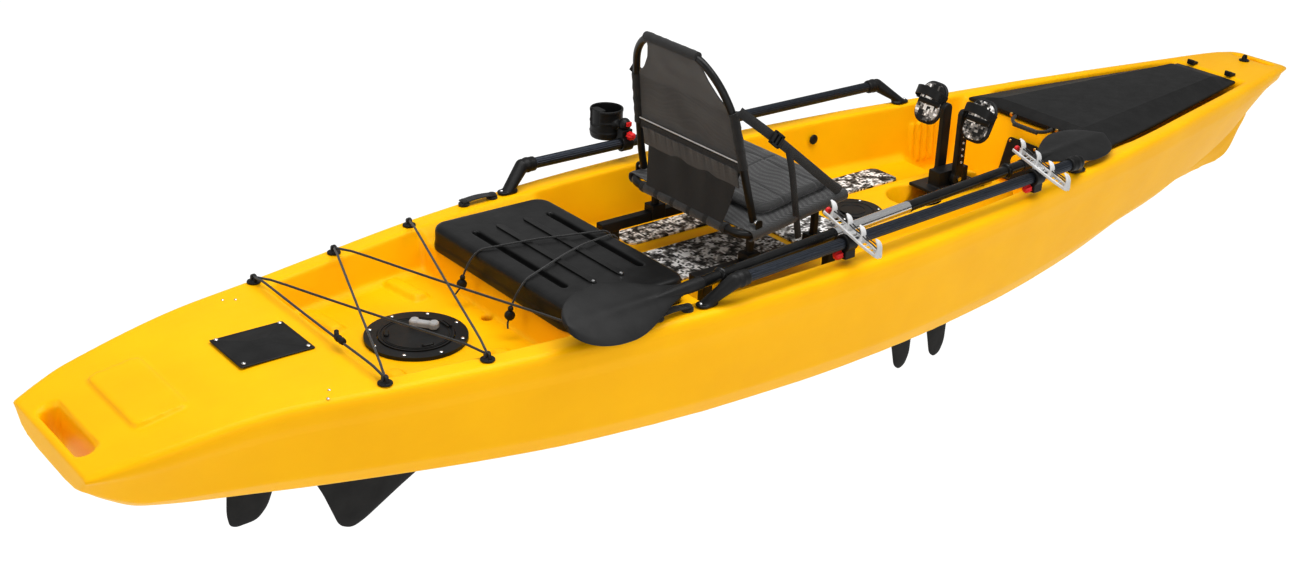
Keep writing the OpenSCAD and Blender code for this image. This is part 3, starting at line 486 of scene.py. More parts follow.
def loft_hull():
    xs = np.unique(np.concatenate([np.arange(-2130, 2131, HULL_STEP), [2130], [p[0] for p in CENTRE]]))
    rows = []
    for x in xs:
        corners = half_section(x)
        half = [np.array(corners[0])]
        for a, b, cuts in zip(corners, corners[1:], CUTS):
            half += [np.array(a) + (np.array(b) - np.array(a)) * (k + 1) / cuts for k in range(cuts)]
        half = np.array(half)
        whole = np.vstack([half, half[-2:0:-1] * [-1, 1]])
        rows.append(np.column_stack([np.full(len(whole), x), whole]))
    vertices, faces = capped(rows, flip=True)
    return new_object("hull_form", vertices * MM, faces)


def slot_outline(a, b, r, steps=20):
    """Closed outline of a slot with round ends between the points a and b."""
    a, b = np.array(a, float), np.array(b, float)
    along = math.atan2(*(b - a)[::-1]) if np.linalg.norm(b - a) else 0
    turn = np.linspace(-math.pi / 2, math.pi / 2, steps) + along
    return np.vstack([end + r * np.column_stack([np.cos(t), np.sin(t)])
                      for end, t in ((b, turn), (a, turn + math.pi))])


def slot_block(a, b, levels):
    """Round-ended upright block between the points a and b, through levels of (radius, height)."""
    return stack([(slot_outline(a, b, r), z) for r, z in levels])


def mesh_part(mesh):
    """An existing mesh as a (vertices, faces) pair in mm."""
    return np.array([v.co for v in mesh.vertices]) / MM, [list(p.vertices) for p in mesh.polygons]


def joined(name, parts):
    """One mesh from (vertices, faces) pairs in mm."""
    vertices, faces = [], []
    for v, f in parts:
        faces += [[i + len(vertices) for i in face] for face in f]
        vertices += [tuple(p) for p in np.array(v) * MM]
    return new_object(name, vertices, faces, smooth=False)


def cut(obj, parts):
    cutter = joined("cutter", parts)
    modifier = obj.modifiers.new("cut", "BOOLEAN")
    modifier.operation = "DIFFERENCE"
    modifier.solver = "MANIFOLD"
    modifier.object = cutter
    apply_modifiers(obj)
    bpy.data.objects.remove(cutter)


def bowl():
    """The drive's bowl in the console: round at the top, narrower at the bottom, behind the slot."""
    return stack([(circle(r, 48) + [x, 0], z) for x, r, z in ((450, 50, 160), (430, 120, 310))])


def slot_rim(x, half, radius, depth, lean):
    """Recess round a grip slot, set on the deck's centreline at x and leaning about Y."""
    rim = slot_block((0, -half), (0, half), ((radius, -depth), (radius, 60)))
    return moved(rim, (x, 0, float(sheer(x))), turned(lean, "Y"))


def with_raised_details(hull):
    """Adds the raised stern panel, the ribs of the tank well and the steps of the foot braces."""
    parts = [moved(slab(59, 131, 14, (0, 14)), (-1930, 0, 287), turned(-8, "Y"))]
    for side, _ in SIDES:
        for x, y in ((-1390, 190), (-1130, 236)):
            rib = stack([(rounded_rectangle(w, 70 - d, 8), z)
                         for w, d, z in ((26, 0, 0), (22, 4, 16), (14, 10, 24))])
            parts.append(moved(rib, (x, side * y, TANK_FLOOR - 8), turned(side * 8, "Z")))
        for k in range(6):
            x = 740 + 26 * k
            inner = float(hull_at(x, BEAM)) - lookup(SIDE_DECK, x)
            parts.append(sweep([(x, side * (inner * 0.93), 180), (x + 5, side * (inner * 0.965), 300)],
                               circle(7, 10)))
    whole = joined("hull_with_details", [*parts, mesh_part(hull.data)])
    bpy.data.objects.remove(hull)
    return whole


def make_hull():
    hull = loft_hull()
    slots = [(STERN_SLOT_X, 94, 21), (BOW_SLOT_X, 62, 14)]
    scuppers = [(-1042, 0), (-470, 240), (-470, -240), (845, 150), (845, -150)]
    rounds = [(x, y, 14, THROUGH, 290) for x, y in scuppers]
    rounds += [(POST_X, 0, 26, THROUGH, 310), (REAR_HATCH_X, 0, 87, 60, 260),
               (CENTRE_HATCH_X, 0, 56, 60, 250)]
    cut(hull, [slot_block((x, -half), (x, half), ((r, 20), (r, 420))) for x, half, r in slots]
        + [slot_block((x, y), (x, y), ((r, z0), (r, z1))) for x, y, r, z0, z1 in rounds])
    cut(hull, [slot_block((415, 0), (690, 0), ((58, THROUGH), (58, 320)))])
    cut(hull, [bowl()])
    cut(hull, [slot_rim(STERN_SLOT_X, 96, 29, 7, -16), slot_rim(BOW_SLOT_X, 64, 20, 5, 6)])
    hull = remeshed(with_raised_details(hull), HULL_VOXEL, 4)
    hull.data.shade_smooth()
    finish_piece(hull, "moulded_hull", "hull", "hull_shell", ["hull"])


# ---------------------------------------------------------------- sweeps and moulded pieces
def unit(v):
    v = np.asarray(v, float)
    return v / np.linalg.norm(v)


def rounded_path(points, radius, steps=6):
    """The points, with each inner corner replaced by a curve that starts radius before it."""
    points = [np.array(p, float) for p in points]
    out = [points[0]]
    for a, b, c in zip(points, points[1:], points[2:]):
        reach = min(radius, 0.48 * np.linalg.norm(a - b), 0.48 * np.linalg.norm(c - b))
        p, q = b + unit(a - b) * reach, b + unit(c - b) * reach
        out += [(1 - t) ** 2 * p + 2 * t * (1 - t) * b + t * t * q for t in np.linspace(0, 1, steps + 1)]
    return np.array(out + [points[-1]])


def circle(radius, sides=14, flutes=0, depth=0.0):
    turn = np.linspace(0, 2 * math.pi, sides, endpoint=False)
    r = radius - depth * (0.5 + 0.5 * np.cos(flutes * turn)) if flutes else radius
    return np.column_stack([r * np.cos(turn), r * np.sin(turn)])


def flat_profile(width, thickness):
    """Band section with soft corners, width first."""
    w, t = width / 2, thickness / 2
    c = min(w, t) * 0.6
    return np.array([(w - c, -t), (w, -t + c), (w, t - c), (w - c, t), (-w + c, t), (-w, t - c),
                     (-w, -t + c), (-w + c, -t)])


def sweep(points, profile, across=None, grow=None):
    """Profile carried along the points; across holds its first axis, or it turns as little as it can."""
    points = np.asarray(points, float)
    tangent = np.gradient(points, axis=0)
    tangent /= np.linalg.norm(tangent, axis=1)[:, None]
    first = np.array(across, float) if across is not None else np.array([0.3, 0.2, 0.9])
    rings = []
    for i, (p, t) in enumerate(zip(points, tangent)):
        if across is not None:
            first = np.array(across, float)
        first = unit(first - t * (first @ t))
        second = np.cross(t, first)
        size = 1 if grow is None else grow[i]
        rings.append(p + size * (profile[:, :1] * first + profile[:, 1:] * second))
    return capped(rings)


def lathe(profile, at, axis=(0, 0, 1), sides=32):
    """Closed turned piece from (distance along the axis, radius) pairs that end on the axis."""
    z = unit(axis)
    x = unit(np.cross(z, (0.31, 0.95, 0.02)))
    y = np.cross(z, x)
    turn = np.linspace(0, 2 * math.pi, sides, endpoint=False)
    ring = np.outer(np.cos(turn), x) + np.outer(np.sin(turn), y)
    return capped([np.array(at) + h * z + r * ring for h, r in profile])


def stack(outlines):
    """Closed solid through flat outlines that have the same number of points; each is (points, z)."""
    count = len(outlines[0][0])
    return capped([np.column_stack([np.array(p), np.full(count, z)]) for p, z in outlines])


def rounded_rectangle(half_x, half_y, radius, steps=6, centre=(0, 0)):
    turn = np.linspace(0, math.pi / 2, steps + 1)
    quarter = radius * np.column_stack([np.cos(turn), np.sin(turn)])
    out = []
    for k, (sx, sy) in enumerate([(1, 1), (-1, 1), (-1, -1), (1, -1)]):
        part = quarter * [sx, sy] + [sx * (half_x - radius), sy * (half_y - radius)]
        out.append(part if k % 2 == 0 else part[::-1])
    return np.vstack(out) + np.array(centre)


def slab(half_x, half_y, radius, heights, steps=6, centre=(0, 0)):
    """Upright block with rounded corners, through the given heights."""
    return stack([(rounded_rectangle(half_x, half_y, radius, steps, centre), z) for z in heights])


def crowned_slab(half_x, half_y, radius, levels, centre=(0, 0)):
    """Upright block with rounded corners, through levels of (inset, height)."""
    return stack([(rounded_rectangle(half_x - i, half_y - i, radius - i, 8, centre), z)
                  for i, z in levels])


def moved(part, offset=(0, 0, 0), turn=None, about=(0, 0, 0)):
    """The (vertices, faces) pair turned by a matrix about a point and then moved."""
    vertices, faces = part
    v = np.array(vertices, float) - np.array(about)
    if turn is not None:
        v = v @ np.array(turn)[:3, :3].T
    return v + np.array(about) + np.array(offset), faces


def turned(degrees, axis):
    return Matrix.Rotation(math.radians(degrees), 3, axis)


def finish_piece(obj, name, body, slot, stands_for=()):
    obj.name = name
    obj.data.name = name
    obj.data.materials.clear()
    obj.data.materials.append(MATERIALS[slot])
    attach(obj, body)
    if stands_for:
        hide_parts(*stands_for)
    return obj


def piece(name, body, slot, parts, stands_for=(), sharp=38, bevel=0.0):
    """A piece made of (vertices, faces) pairs in mm."""
    obj = joined(name, parts)
    smooth_by_angle(obj, sharp)
    if bevel:
        add_bevel(obj, bevel)
    return finish_piece(obj, name, body, slot, stands_for)


def remeshed(obj, voxel, soften):
    remesh = obj.modifiers.new("remesh", "REMESH")
    remesh.mode = "VOXEL"
    remesh.voxel_size = voxel * MM
    if soften:
        smooth = obj.modifiers.new("soften", "SMOOTH")
        smooth.factor = 0.5
        smooth.iterations = soften
    return apply_modifiers(obj)


def moulded(name, body, slot, parts=(), node=None, holes=(), voxel=2.0, soften=4, stands_for=()):
    """A moulded piece: parts, and a CAD node's own solid, run together with soft edges."""
    parts = list(parts)
    if node:
        parts.append(mesh_part(NODES[node].data))
    obj = joined(name, parts)
    if holes:
        remeshed(obj, voxel, 0)
        cut(obj, holes)
    remeshed(obj, voxel, soften)
    obj.data.shade_smooth()
    return finish_piece(obj, name, body, slot, stands_for or ([node] if node else ()))


# ---------------------------------------------------------------- storage box lid
BOX_X, BOX_Y, BOX_Z0, BOX_Z1 = (-1020, -664), 312, 301, 368


TOGGLE_X = -1056


def make_box_lid():
    low, high = BOX_X
    middle, half = (low + high) / 2, (high - low) / 2
    rim = [(4, BOX_Z0), (0, BOX_Z0 + 4), (0, BOX_Z0 + 20), (2, BOX_Z0 + 22), (2, BOX_Z1 - 16),
           (4, BOX_Z1 - 8), (9, BOX_Z1 - 3), (17, BOX_Z1 - 0.5), (30, BOX_Z1)]
    body = crowned_slab(half, BOX_Y, 46, rim, (middle, 0))
    slots = [slot_block((middle + x, -190), (middle + x, 190),
                        ((8, BOX_Z1 - 17), (10, BOX_Z1 - 3), (12.5, BOX_Z1 + 3))) for x in (-108, 118)]
    moulded("storage_box_lid_moulded", "storage_lid", "box_lid_plastic", [body], holes=slots,
            voxel=2.6, soften=3, stands_for=["storage_box_lid"])
    section = np.array([(-10, -4), (10, -4), (6.5, 3), (4.5, 4.5), (-4.5, 4.5), (-6.5, 3)], float)
    ribs, studs = [], []
    for x in (-38, 45):
        line = [(middle + x, y, BOX_Z1) for y in (-220, -207, 188, 204)]
        ribs.append(sweep(line, section, across=(1, 0, 0), grow=[0.5, 1, 1, 0.3]))
        studs.append(lathe([(-3, 4.5), (1.2, 4.5), (2.8, 3.2), (3.2, 1.2)],
                           (middle + x, -212, BOX_Z1 + 2.5), sides=16))
    piece("storage_box_lid_ribs", "storage_lid", "box_lid_plastic", ribs, sharp=25, bevel=0.001)
    piece("storage_box_lid_studs", "storage_lid", "steel", studs)
    cords, knots = [], []
    a = TOGGLE_X
    for side, out in ((1, 92), (-1, 120)):
        y = side * out
        line = [(a + 2, y, 306), (a + 14, y, 332), (low - 6, y, BOX_Z1 - 12),
                (low + 16, side * (out - 4), BOX_Z1 + 4), (middle - 20, side * 60, BOX_Z1 + 8),
                (middle + 66, side * 32, BOX_Z1 + 9), (high - 12, side * 14, BOX_Z1 + 5),
                (high + 7, side * 13, BOX_Z1 - 12), (high + 8, side * 13, BOX_Z0 + 5)]
        cords.append(sweep(rounded_path(line, 24, 8), circle(2.6, 10)))
        knots.append(lathe([(-9, 6), (-6, 11.5), (-2, 12.5), (2, 12.5), (6, 11.5), (9, 6)],
                           (a, y, 290), (0, 1, 0), 24))
        knots.append(lathe([(-4, 3), (0, 6.5), (6, 6.5), (10, 3)], (a + 2, y, 304), (0.1, 0, 1), 16))
        tail = [(a - 2, y, 284), (a - 9, side * (out + 4), 272), (a - 12, side * (out + 10), 262)]
        cords.append(sweep(rounded_path(tail, 8), circle(2.2, 10)))
    piece("box_tie_cord_lines", "storage_lid", "elastic_cord", cords, ["box_tie_cords"])
    piece("box_tie_toggles", "storage_lid", "black_plastic", knots, ["box_cord_toggles"])


# ---------------------------------------------------------------- stern deck
EYES = [(-1503, 311), (-1267, 349), (-1030, 385)]
BUNGEE = [(0, 0), (0, 1), (1, 0), (1, 2), (2, 1)]  # port eye and starboard eye of each run


def eye_point(i, side):
    x, y = EYES[i]
    return np.array([x, side * y, max(sheer(x - 17), sheer(x + 17)) + 23.5])


def make_deck_bungee():
    cords = []
    t = np.linspace(0, 1, 15)[:, None]
    rise = 8 * np.minimum(1, 12 * np.minimum(t, 1 - t)) - 3 * 4 * t * (1 - t)
    for port_eye, starboard_eye in BUNGEE:
        p, q = eye_point(port_eye, 1), eye_point(starboard_eye, -1)
        u = unit(q - p)
        start, stop = p + 6 * u + [0, 0, -8], q - 6 * u + [0, 0, -8]
        cords.append(sweep(start + (stop - start) * t + [0, 0, 1] * rise, circle(3.0, 10)))
    for i in range(3):
        for side in (1, -1):
            p = eye_point(i, side) + [0, 0, -10.5]
            turn = np.linspace(0.25, 2 * math.pi + 0.1, 20)
            loop = [p + [5.2 * math.sin(a) * 1.2, 0, 7.5 * math.cos(a)] for a in turn]
            cords.append(sweep(loop, circle(2.6, 8)))
    piece("deck_bungee_lines", "hull", "elastic_cord", cords, ["deck_bungee"])
    at = eye_point(0, 1)
    at[1] = -115
    slider = [lathe([(-17, 4), (-15, 7.5), (-6, 8.5), (-4, 6.5), (4, 6.5), (6, 8.5), (15, 7.5), (17, 4)],
                    at + [0, 0, 1], (0, 1, 0), 20)]
    slider.append(lathe([(-10, 3.5), (-8, 5.5), (8, 5.5), (10, 3.5)], at + [3, 22, 6], (0.5, 1, 0.3), 14))
    piece("bungee_slider", "hull", "black_plastic", slider, ["bungee_adjuster"])


def make_rivets():
    """Small rivet pairs on the stern deck."""
    places = [(-1607, 262), (-1581, 248), (-1614, -268), (-1634, -300)]
    heads = [lathe([(-1, 3.6), (0.8, 3.6), (2.0, 2.4), (2.4, 0.8)], (x, y, float(sheer(x)) + 0.2),
                   sides=14) for x, y in places]
    piece("stern_deck_rivets", "hull", "steel", heads)


# ---------------------------------------------------------------- hatches
def make_hatch_handle():
    x, y, z = -1208, 20, 244.5
    body = [slot_block((-26, 0), (26, 0), ((8.5, 0), (9.5, 2), (9.5, 11), (7, 14.5)))]
    for end in (25, -25):
        body.append(slot_block((end, -3), (end, 3), ((10, 0), (11.5, 2), (11.5, 13), (8.5, 17))))
    body.append(lathe([(-9, 5.8), (2, 5.8)], (0, 0, 0), sides=24))
    body = [moved(p, (x, y, z), turned(-52, "Z")) for p in body]
    moulded("rear_hatch_grip", "rear_lid_handle", "grey_plastic", body, voxel=1.0, soften=3,
            stands_for=["rear_hatch_handle"])


def ring_trim(x, z, radius, width, height):
    """A flat ring round a hatch at x."""
    turn = np.linspace(0, 2 * math.pi, 65)
    return sweep([(x + radius * math.cos(a), radius * math.sin(a), z) for a in turn],
                 flat_profile(width, height), across=(0, 0, 1))


def make_hatch_trim():
    """Raised rings and latches on the two round lids."""
    x, z = REAR_HATCH_X, 244
    trim = [ring_trim(x, z, 78, 3, 2.4)]
    for angle in (150, 262):
        a = math.radians(angle)
        at = (x + 70 * math.cos(a), 70 * math.sin(a), z + 1)
        latch = slot_block((-9, 0), (9, 0), ((6, -2), (6, 3), (4, 5)))
        trim.append(moved(latch, at, turned(angle + 90, "Z")))
    piece("rear_hatch_trim", "rear_lid", "hatch_plastic", trim)
    rings = [ring_trim(CENTRE_HATCH_X, 242, r, 2.4, 2) for r in (57.5, 36)]
    piece("centre_hatch_trim", "centre_lid", "hatch_plastic", rings)


# ---------------------------------------------------------------- side rails
RAIL_A, RAIL_B, RAIL_LIFT, RAIL_D, RAIL_SLEEVE, RAIL_FOOT = (-640, 446), (655, 398), 56, 30, 26, 62


def rail_at(x, side):
    y = np.interp(x, [RAIL_A[0], RAIL_B[0]], [RAIL_A[1], RAIL_B[1]])
    z = np.interp(x, [RAIL_A[0], RAIL_B[0]], [sheer(RAIL_A[0]), sheer(RAIL_B[0])]) + RAIL_LIFT
    return np.array([x, side * y, z])


def make_rails():
    for side, word in SIDES:
        a, b = rail_at(RAIL_A[0] + RAIL_SLEEVE, side), rail_at(RAIL_B[0] - RAIL_SLEEVE, side)
        line = a + (b - a) * np.linspace(0, 1, 9)[:, None]
        tube = sweep(line, circle(RAIL_D / 2, 144, 18, 0.9))
        piece(f"{word}_rail_fluted", "hull", "rail_aluminium", [tube], [f"{word}_rail_tube"], sharp=60)
        collars = []
        for x, way in ((RAIL_A[0] + RAIL_SLEEVE, 1), (RAIL_B[0] - RAIL_SLEEVE, -1)):
            p = rail_at(x, side)
            u = unit(b - a) * way
            collars.append(lathe([(-20, 19), (-18, 20.2), (10, 20.2), (13, 19), (14, 16)], p, u, 32))
            collars.append(lathe([(-14, 21), (-10, 21.6), (-6, 21)], p, u, 32))
        moulded(f"{word}_rail_ends", "hull", "black_plastic", collars, f"{word}_rail_castings",
                voxel=2.0, soften=6)


# ---------------------------------------------------------------- paddle
PADDLE_A, PADDLE_B = np.array([-735, -402, 394.0]), np.array([560, -300, 404.0])
BLADE_LENGTH, BLADE_WIDTH, BLADE_EDGE = 375, 168, 2.2


def blade(root, way, lean):
    """Spoon blade with a tapering spine; way is -1 for the stern end."""
    yaw = math.atan2(*(PADDLE_B - PADDLE_A)[1::-1])
    along = way * np.array([math.cos(yaw), math.sin(yaw), 0])
    level = np.array([-math.sin(yaw), math.cos(yaw), 0])
    lean = math.radians(lean)
    across = math.sin(lean) * np.array([0, 0, 1]) + math.cos(lean) * level
    normal = np.cross(across, along) * way
    tip_steps = 0.85 + 0.15 * np.sin(np.linspace(0, math.pi / 2, 16))[1:]
    ts = np.concatenate([np.linspace(0.02, 0.85, 40), tip_steps])
    ss = np.linspace(-1, 1, 33)
    rows = {1: [], -1: []}
    for t in ts:
        opening = np.clip((t - 0.03) / 0.6, 0, 1)
        half = 14 + (BLADE_WIDTH / 2 - 14) * (opening * opening * (3 - 2 * opening))
        tip = np.clip((t - 0.62) / 0.38, 0, 1)
        half *= math.sqrt(max(1 - tip ** 2.4, 0.0004))
        shift = 6 * opening
        spine = 9.5 * (1 - t) ** 0.7 + 0.6
        for side in (1, -1):
            ridge = spine * np.exp(-(ss * half / (10 + 9 * t)) ** 2)
            spoon = 9 * (ss ** 2) * opening
            z = spoon + side * (BLADE_EDGE * (1 - 0.55 * ss ** 6))
            z = z + side * ridge * (1.0 if side > 0 else 0.55)
            points = (root + np.outer(np.full(len(ss), t * BLADE_LENGTH), along)
                      + np.outer(ss * half + shift, across) + np.outer(z - 4 * opening, normal))
            rows[side].append(points)
    rings = [np.vstack([top, low[::-1]]) for top, low in zip(rows[1], rows[-1])]
    neck = sweep([root - 30 * along, root + 4 * along, root + 60 * along, root + 150 * along],
                 circle(16, 28), grow=[1, 1, 0.82, 0.35])
    return [capped(rings, flip=way < 0), neck]


def make_paddle():
    parts = blade(PADDLE_A, -1, 30) + blade(PADDLE_B, 1, 9)
    piece("paddle_blades_shaped", "paddle", "blade_plastic", parts, ["paddle_blades"], sharp=50)


# ---------------------------------------------------------------- seat
SEAT_REAR, SEAT_FRONT, SEAT_HALF = (-430, 386), (-82, 436), 246
BACK_PIVOT_X = -392
BACK_LINE = [(BACK_PIVOT_X, 225, 417), (-408, 221, 480), (-452, 196, 700), (-479, 163, 780), (-498, 104, 832)]


def seat_z(x):
    return float(np.interp(x, [SEAT_REAR[0], SEAT_FRONT[0]], [SEAT_REAR[1], SEAT_FRONT[1]]))


def back_point(z):
    """x and half width of the back's tubes at height z."""
    heights = [p[2] for p in BACK_LINE]
    return tuple(np.interp(z, heights, [p[k] for p in BACK_LINE]) for k in (0, 1))


def make_seat_frame():
    y = SEAT_HALF - 0.1
    corners = [(SEAT_REAR[0], 0), (SEAT_REAR[0], y), (SEAT_FRONT[0], y), (SEAT_FRONT[0], 0)]
    half = [np.array((x, y, seat_z(x))) for x, y in corners]
    loop = half + [p * [1, -1, 1] for p in half[-2:0:-1]] + [half[0]]
    ring = sweep(rounded_path(loop, 62, 10), circle(11, 20))
    bars = [sweep([(x, -SEAT_HALF, seat_z(x)), (x, 0, seat_z(x)), (x, SEAT_HALF, seat_z(x))], circle(9, 18))
            for x in (-372, -150)]
    lugs = []
    for side in (1, -1):
        lugs.append(moved(slab(10, 18, 8, (-2, 2), 5), (BACK_PIVOT_X, side * 247, 409), turned(90, "X")))
    piece("seat_base_tubes", "seat", "seat_tube", [ring, *bars, *lugs], ["seat_frame"], sharp=45)
    line = [np.array(p, float) for p in BACK_LINE]
    whole = line + [p * [1, -1, 1] for p in line[::-1]]
    back = sweep(rounded_path(whole, 55, 9), circle(10, 20))
    piece("seat_back_tubes", "seat_back", "seat_tube", [back], ["seat_back_frame"], sharp=45)


def wrinkle(points, scale, depth, seed):
    """Smooth folds: noise at each point, times depth."""
    offset = Vector((seed * 3.1, seed * 1.7, 0))
    return np.array([depth * noise.noise(Vector(p) * scale + offset) for p in points])


def cloth_sheet(rows, thickness):
    """A sheet with thickness from rows of points (mm); the rows and columns make a grid."""
    rows = np.asarray(rows, float)
    du, dv = np.gradient(rows, axis=0), np.gradient(rows, axis=1)
    normal = np.cross(du, dv)
    normal /= np.maximum(np.linalg.norm(normal, axis=2), 1e-9)[..., None]
    top, low = rows + normal * thickness / 2, rows - normal * thickness / 2
    m, n = rows.shape[:2]
    faces = grid_faces(m, n, closed_columns=False)
    faces += [f[::-1] for f in grid_faces(m, n, closed_columns=False, offset=m * n)]
    border = ([(0, j) for j in range(n)] + [(i, n - 1) for i in range(1, m)]
              + [(m - 1, j) for j in range(n - 2, -1, -1)] + [(i, 0) for i in range(m - 2, 0, -1)])
    index = [i * n + j for i, j in border]
    faces += [[b, a, a + m * n, b + m * n] for a, b in zip(index, index[1:] + index[:1])]
    return np.vstack([top.reshape(-1, 3), low.reshape(-1, 3)]), faces


PANEL_EDGE = [(560, 214), (700, 198), (712, 178), (736, 148), (770, 122), (804, 107), (832, 104)]


def panel_half(z):
    """Half width of the back's fabric: along the tubes, then cut away in a curve to the top bar."""
    return np.interp(z, [p[0] for p in PANEL_EDGE], [p[1] for p in PANEL_EDGE])


def make_back_fabric():
    heights = np.linspace(560, 832, 50)
    across = np.linspace(-1, 1, 61)
    rows = []
    for k, z in enumerate(heights):
        x, half = back_point(z)[0], panel_half(z)
        line = np.column_stack([np.full(61, x), across * half, np.full(61, z)])
        sag = 7 * (1 - across ** 2) * math.sin(math.pi * k / 49)
        line[:, 0] += sag + wrinkle(line * [0.004, 0.011, 0.02], 1, 3.5, 2) * (1 - across ** 4)
        rows.append(line)
    panel = piece("seat_back_mesh", "seat_back", "seat_fabric", [cloth_sheet(rows, 3)],
                  ["seat_back_panel"], sharp=70)
    sleeves = []
    for side in (1, -1):
        z = np.linspace(560, 706, 16)
        line = np.array([(back_point(h)[0], side * back_point(h)[1], h) for h in z])
        grow = 1 + 0.05 * np.sin(np.arange(16) * 1.9 + side) + 0.03 * RNG.normal(size=16)
        sleeves.append(sweep(line, circle(12.6, 20), grow=grow))
    top = np.linspace(-103, 103, 20)
    line = np.array([(BACK_LINE[-1][0], y, BACK_LINE[-1][2]) for y in top])
    sleeves.append(sweep(line, circle(12.8, 20), grow=1 + 0.03 * RNG.normal(size=20)))
    piece("seat_back_sleeves", "seat_back", "webbing", sleeves, sharp=60)
    x, half = back_point(575)
    piping = [sweep([(x - 5.5, y, 575) for y in np.linspace(-half + 8, half - 8, 12)], circle(2.0, 10))]
    piece("seat_back_piping", "seat_back", "tray_plastic", piping)
    band = [[(back_point(z)[0] - 3.0, s * (back_point(z)[1] - 3), z) for s in across]
            for z in np.linspace(545, 569, 6)]
    piece("seat_back_band", "seat_back", "webbing", [cloth_sheet(band, 3)], sharp=60)


def make_back_flap():
    """Gathered pocket strip and the flap that reaches down to the rear tube of the seat."""
    across = np.linspace(-1, 1, 81)
    rows = []
    for z in np.linspace(500, 552, 14):
        x = back_point(z)[0]
        line = np.array([(x - 3, s * 192, z) for s in across])
        pleats = 2.6 * np.sin(across * 95 + 1.3 * np.sin(across * 23)) * (z - 500) / 52
        line[:, 0] -= np.abs(pleats) + 1.5
        rows.append(line)
    pocket = piece("seat_back_pocket", "seat_back", "seat_fabric", [cloth_sheet(rows, 2)], sharp=60)
    profile = rounded_path([(-408, 552), (-414, 520), (-421, 470), (-429, 425), (-436, 399)], 26, 6)
    rows = []
    for k, (x, z) in enumerate(profile):
        line = np.array([(x, s * (186 - 30 * k / len(profile)), z) for s in across])
        line[:, 0] += wrinkle(line * [0.01, 0.016, 0.01], 1, 5, 5) * (1 - across ** 4)
        rows.append(line)
    flap = piece("seat_back_flap", "seat", "webbing", [cloth_sheet(rows, 2.4)], sharp=60)
    wraps = []
    x, z = SEAT_REAR
    for y in (-128, -60, 8, 76, 142):
        grow = 1 + 0.03 * RNG.normal(size=8)
        line = np.array([(x, y + d, z) for d in np.linspace(-29, 29, 8)])
        wraps.append(sweep(line, circle(13.6, 20), grow=grow))
    piece("seat_rear_wraps", "seat", "seat_fabric", wraps, sharp=60)
    bands = [sweep([(x, y + d, z) for d in (-8, -4, 4, 8)], circle(14.6, 20), grow=[0.96, 1, 1, 0.96])
             for y in (-94, -26, 42, 110, -162, 172)]
    piece("seat_rear_bands", "seat", "webbing", bands, sharp=60)


SLING_ROLL = 13.5  # radius of the fabric round the tubes


def sling_rows():
    """Fabric stretched over the seat's side and front tubes, rolled under at its edges."""
    rows = []
    for x in np.linspace(-418, -96, 30):
        z = seat_z(x)
        half = [(x, SEAT_HALF - 2 + SLING_ROLL * math.cos(a), z + SLING_ROLL * math.sin(a))
                for a in np.linspace(-1.9, math.pi / 2, 12)]
        half += [(x, y, z + 12.5 - 5 * (1 - (y / 232) ** 2)) for y in np.linspace(228, 0, 18)]
        rows.append(half + [(px, -py, pz) for px, py, pz in half[-2::-1]])
    return np.array(rows, float)


def make_seat_sling():
    rows = sling_rows()
    rows[:, :, 2] += wrinkle(rows.reshape(-1, 3) * 0.012, 1, 2.0, 9).reshape(rows.shape[:2])
    sling = piece("seat_base_sling", "seat", "seat_fabric", [cloth_sheet(rows, 2)], sharp=70)
    rolls = [sweep([(SEAT_FRONT[0], y, SEAT_FRONT[1]) for y in np.linspace(-178, 178, 24)], circle(13.4, 20),
                   grow=1 + 0.02 * RNG.normal(size=24))]
    piece("seat_front_roll", "seat", "seat_fabric", rolls, sharp=60)


SWELL_LIMIT = 0.005
CUSHION_X = -228


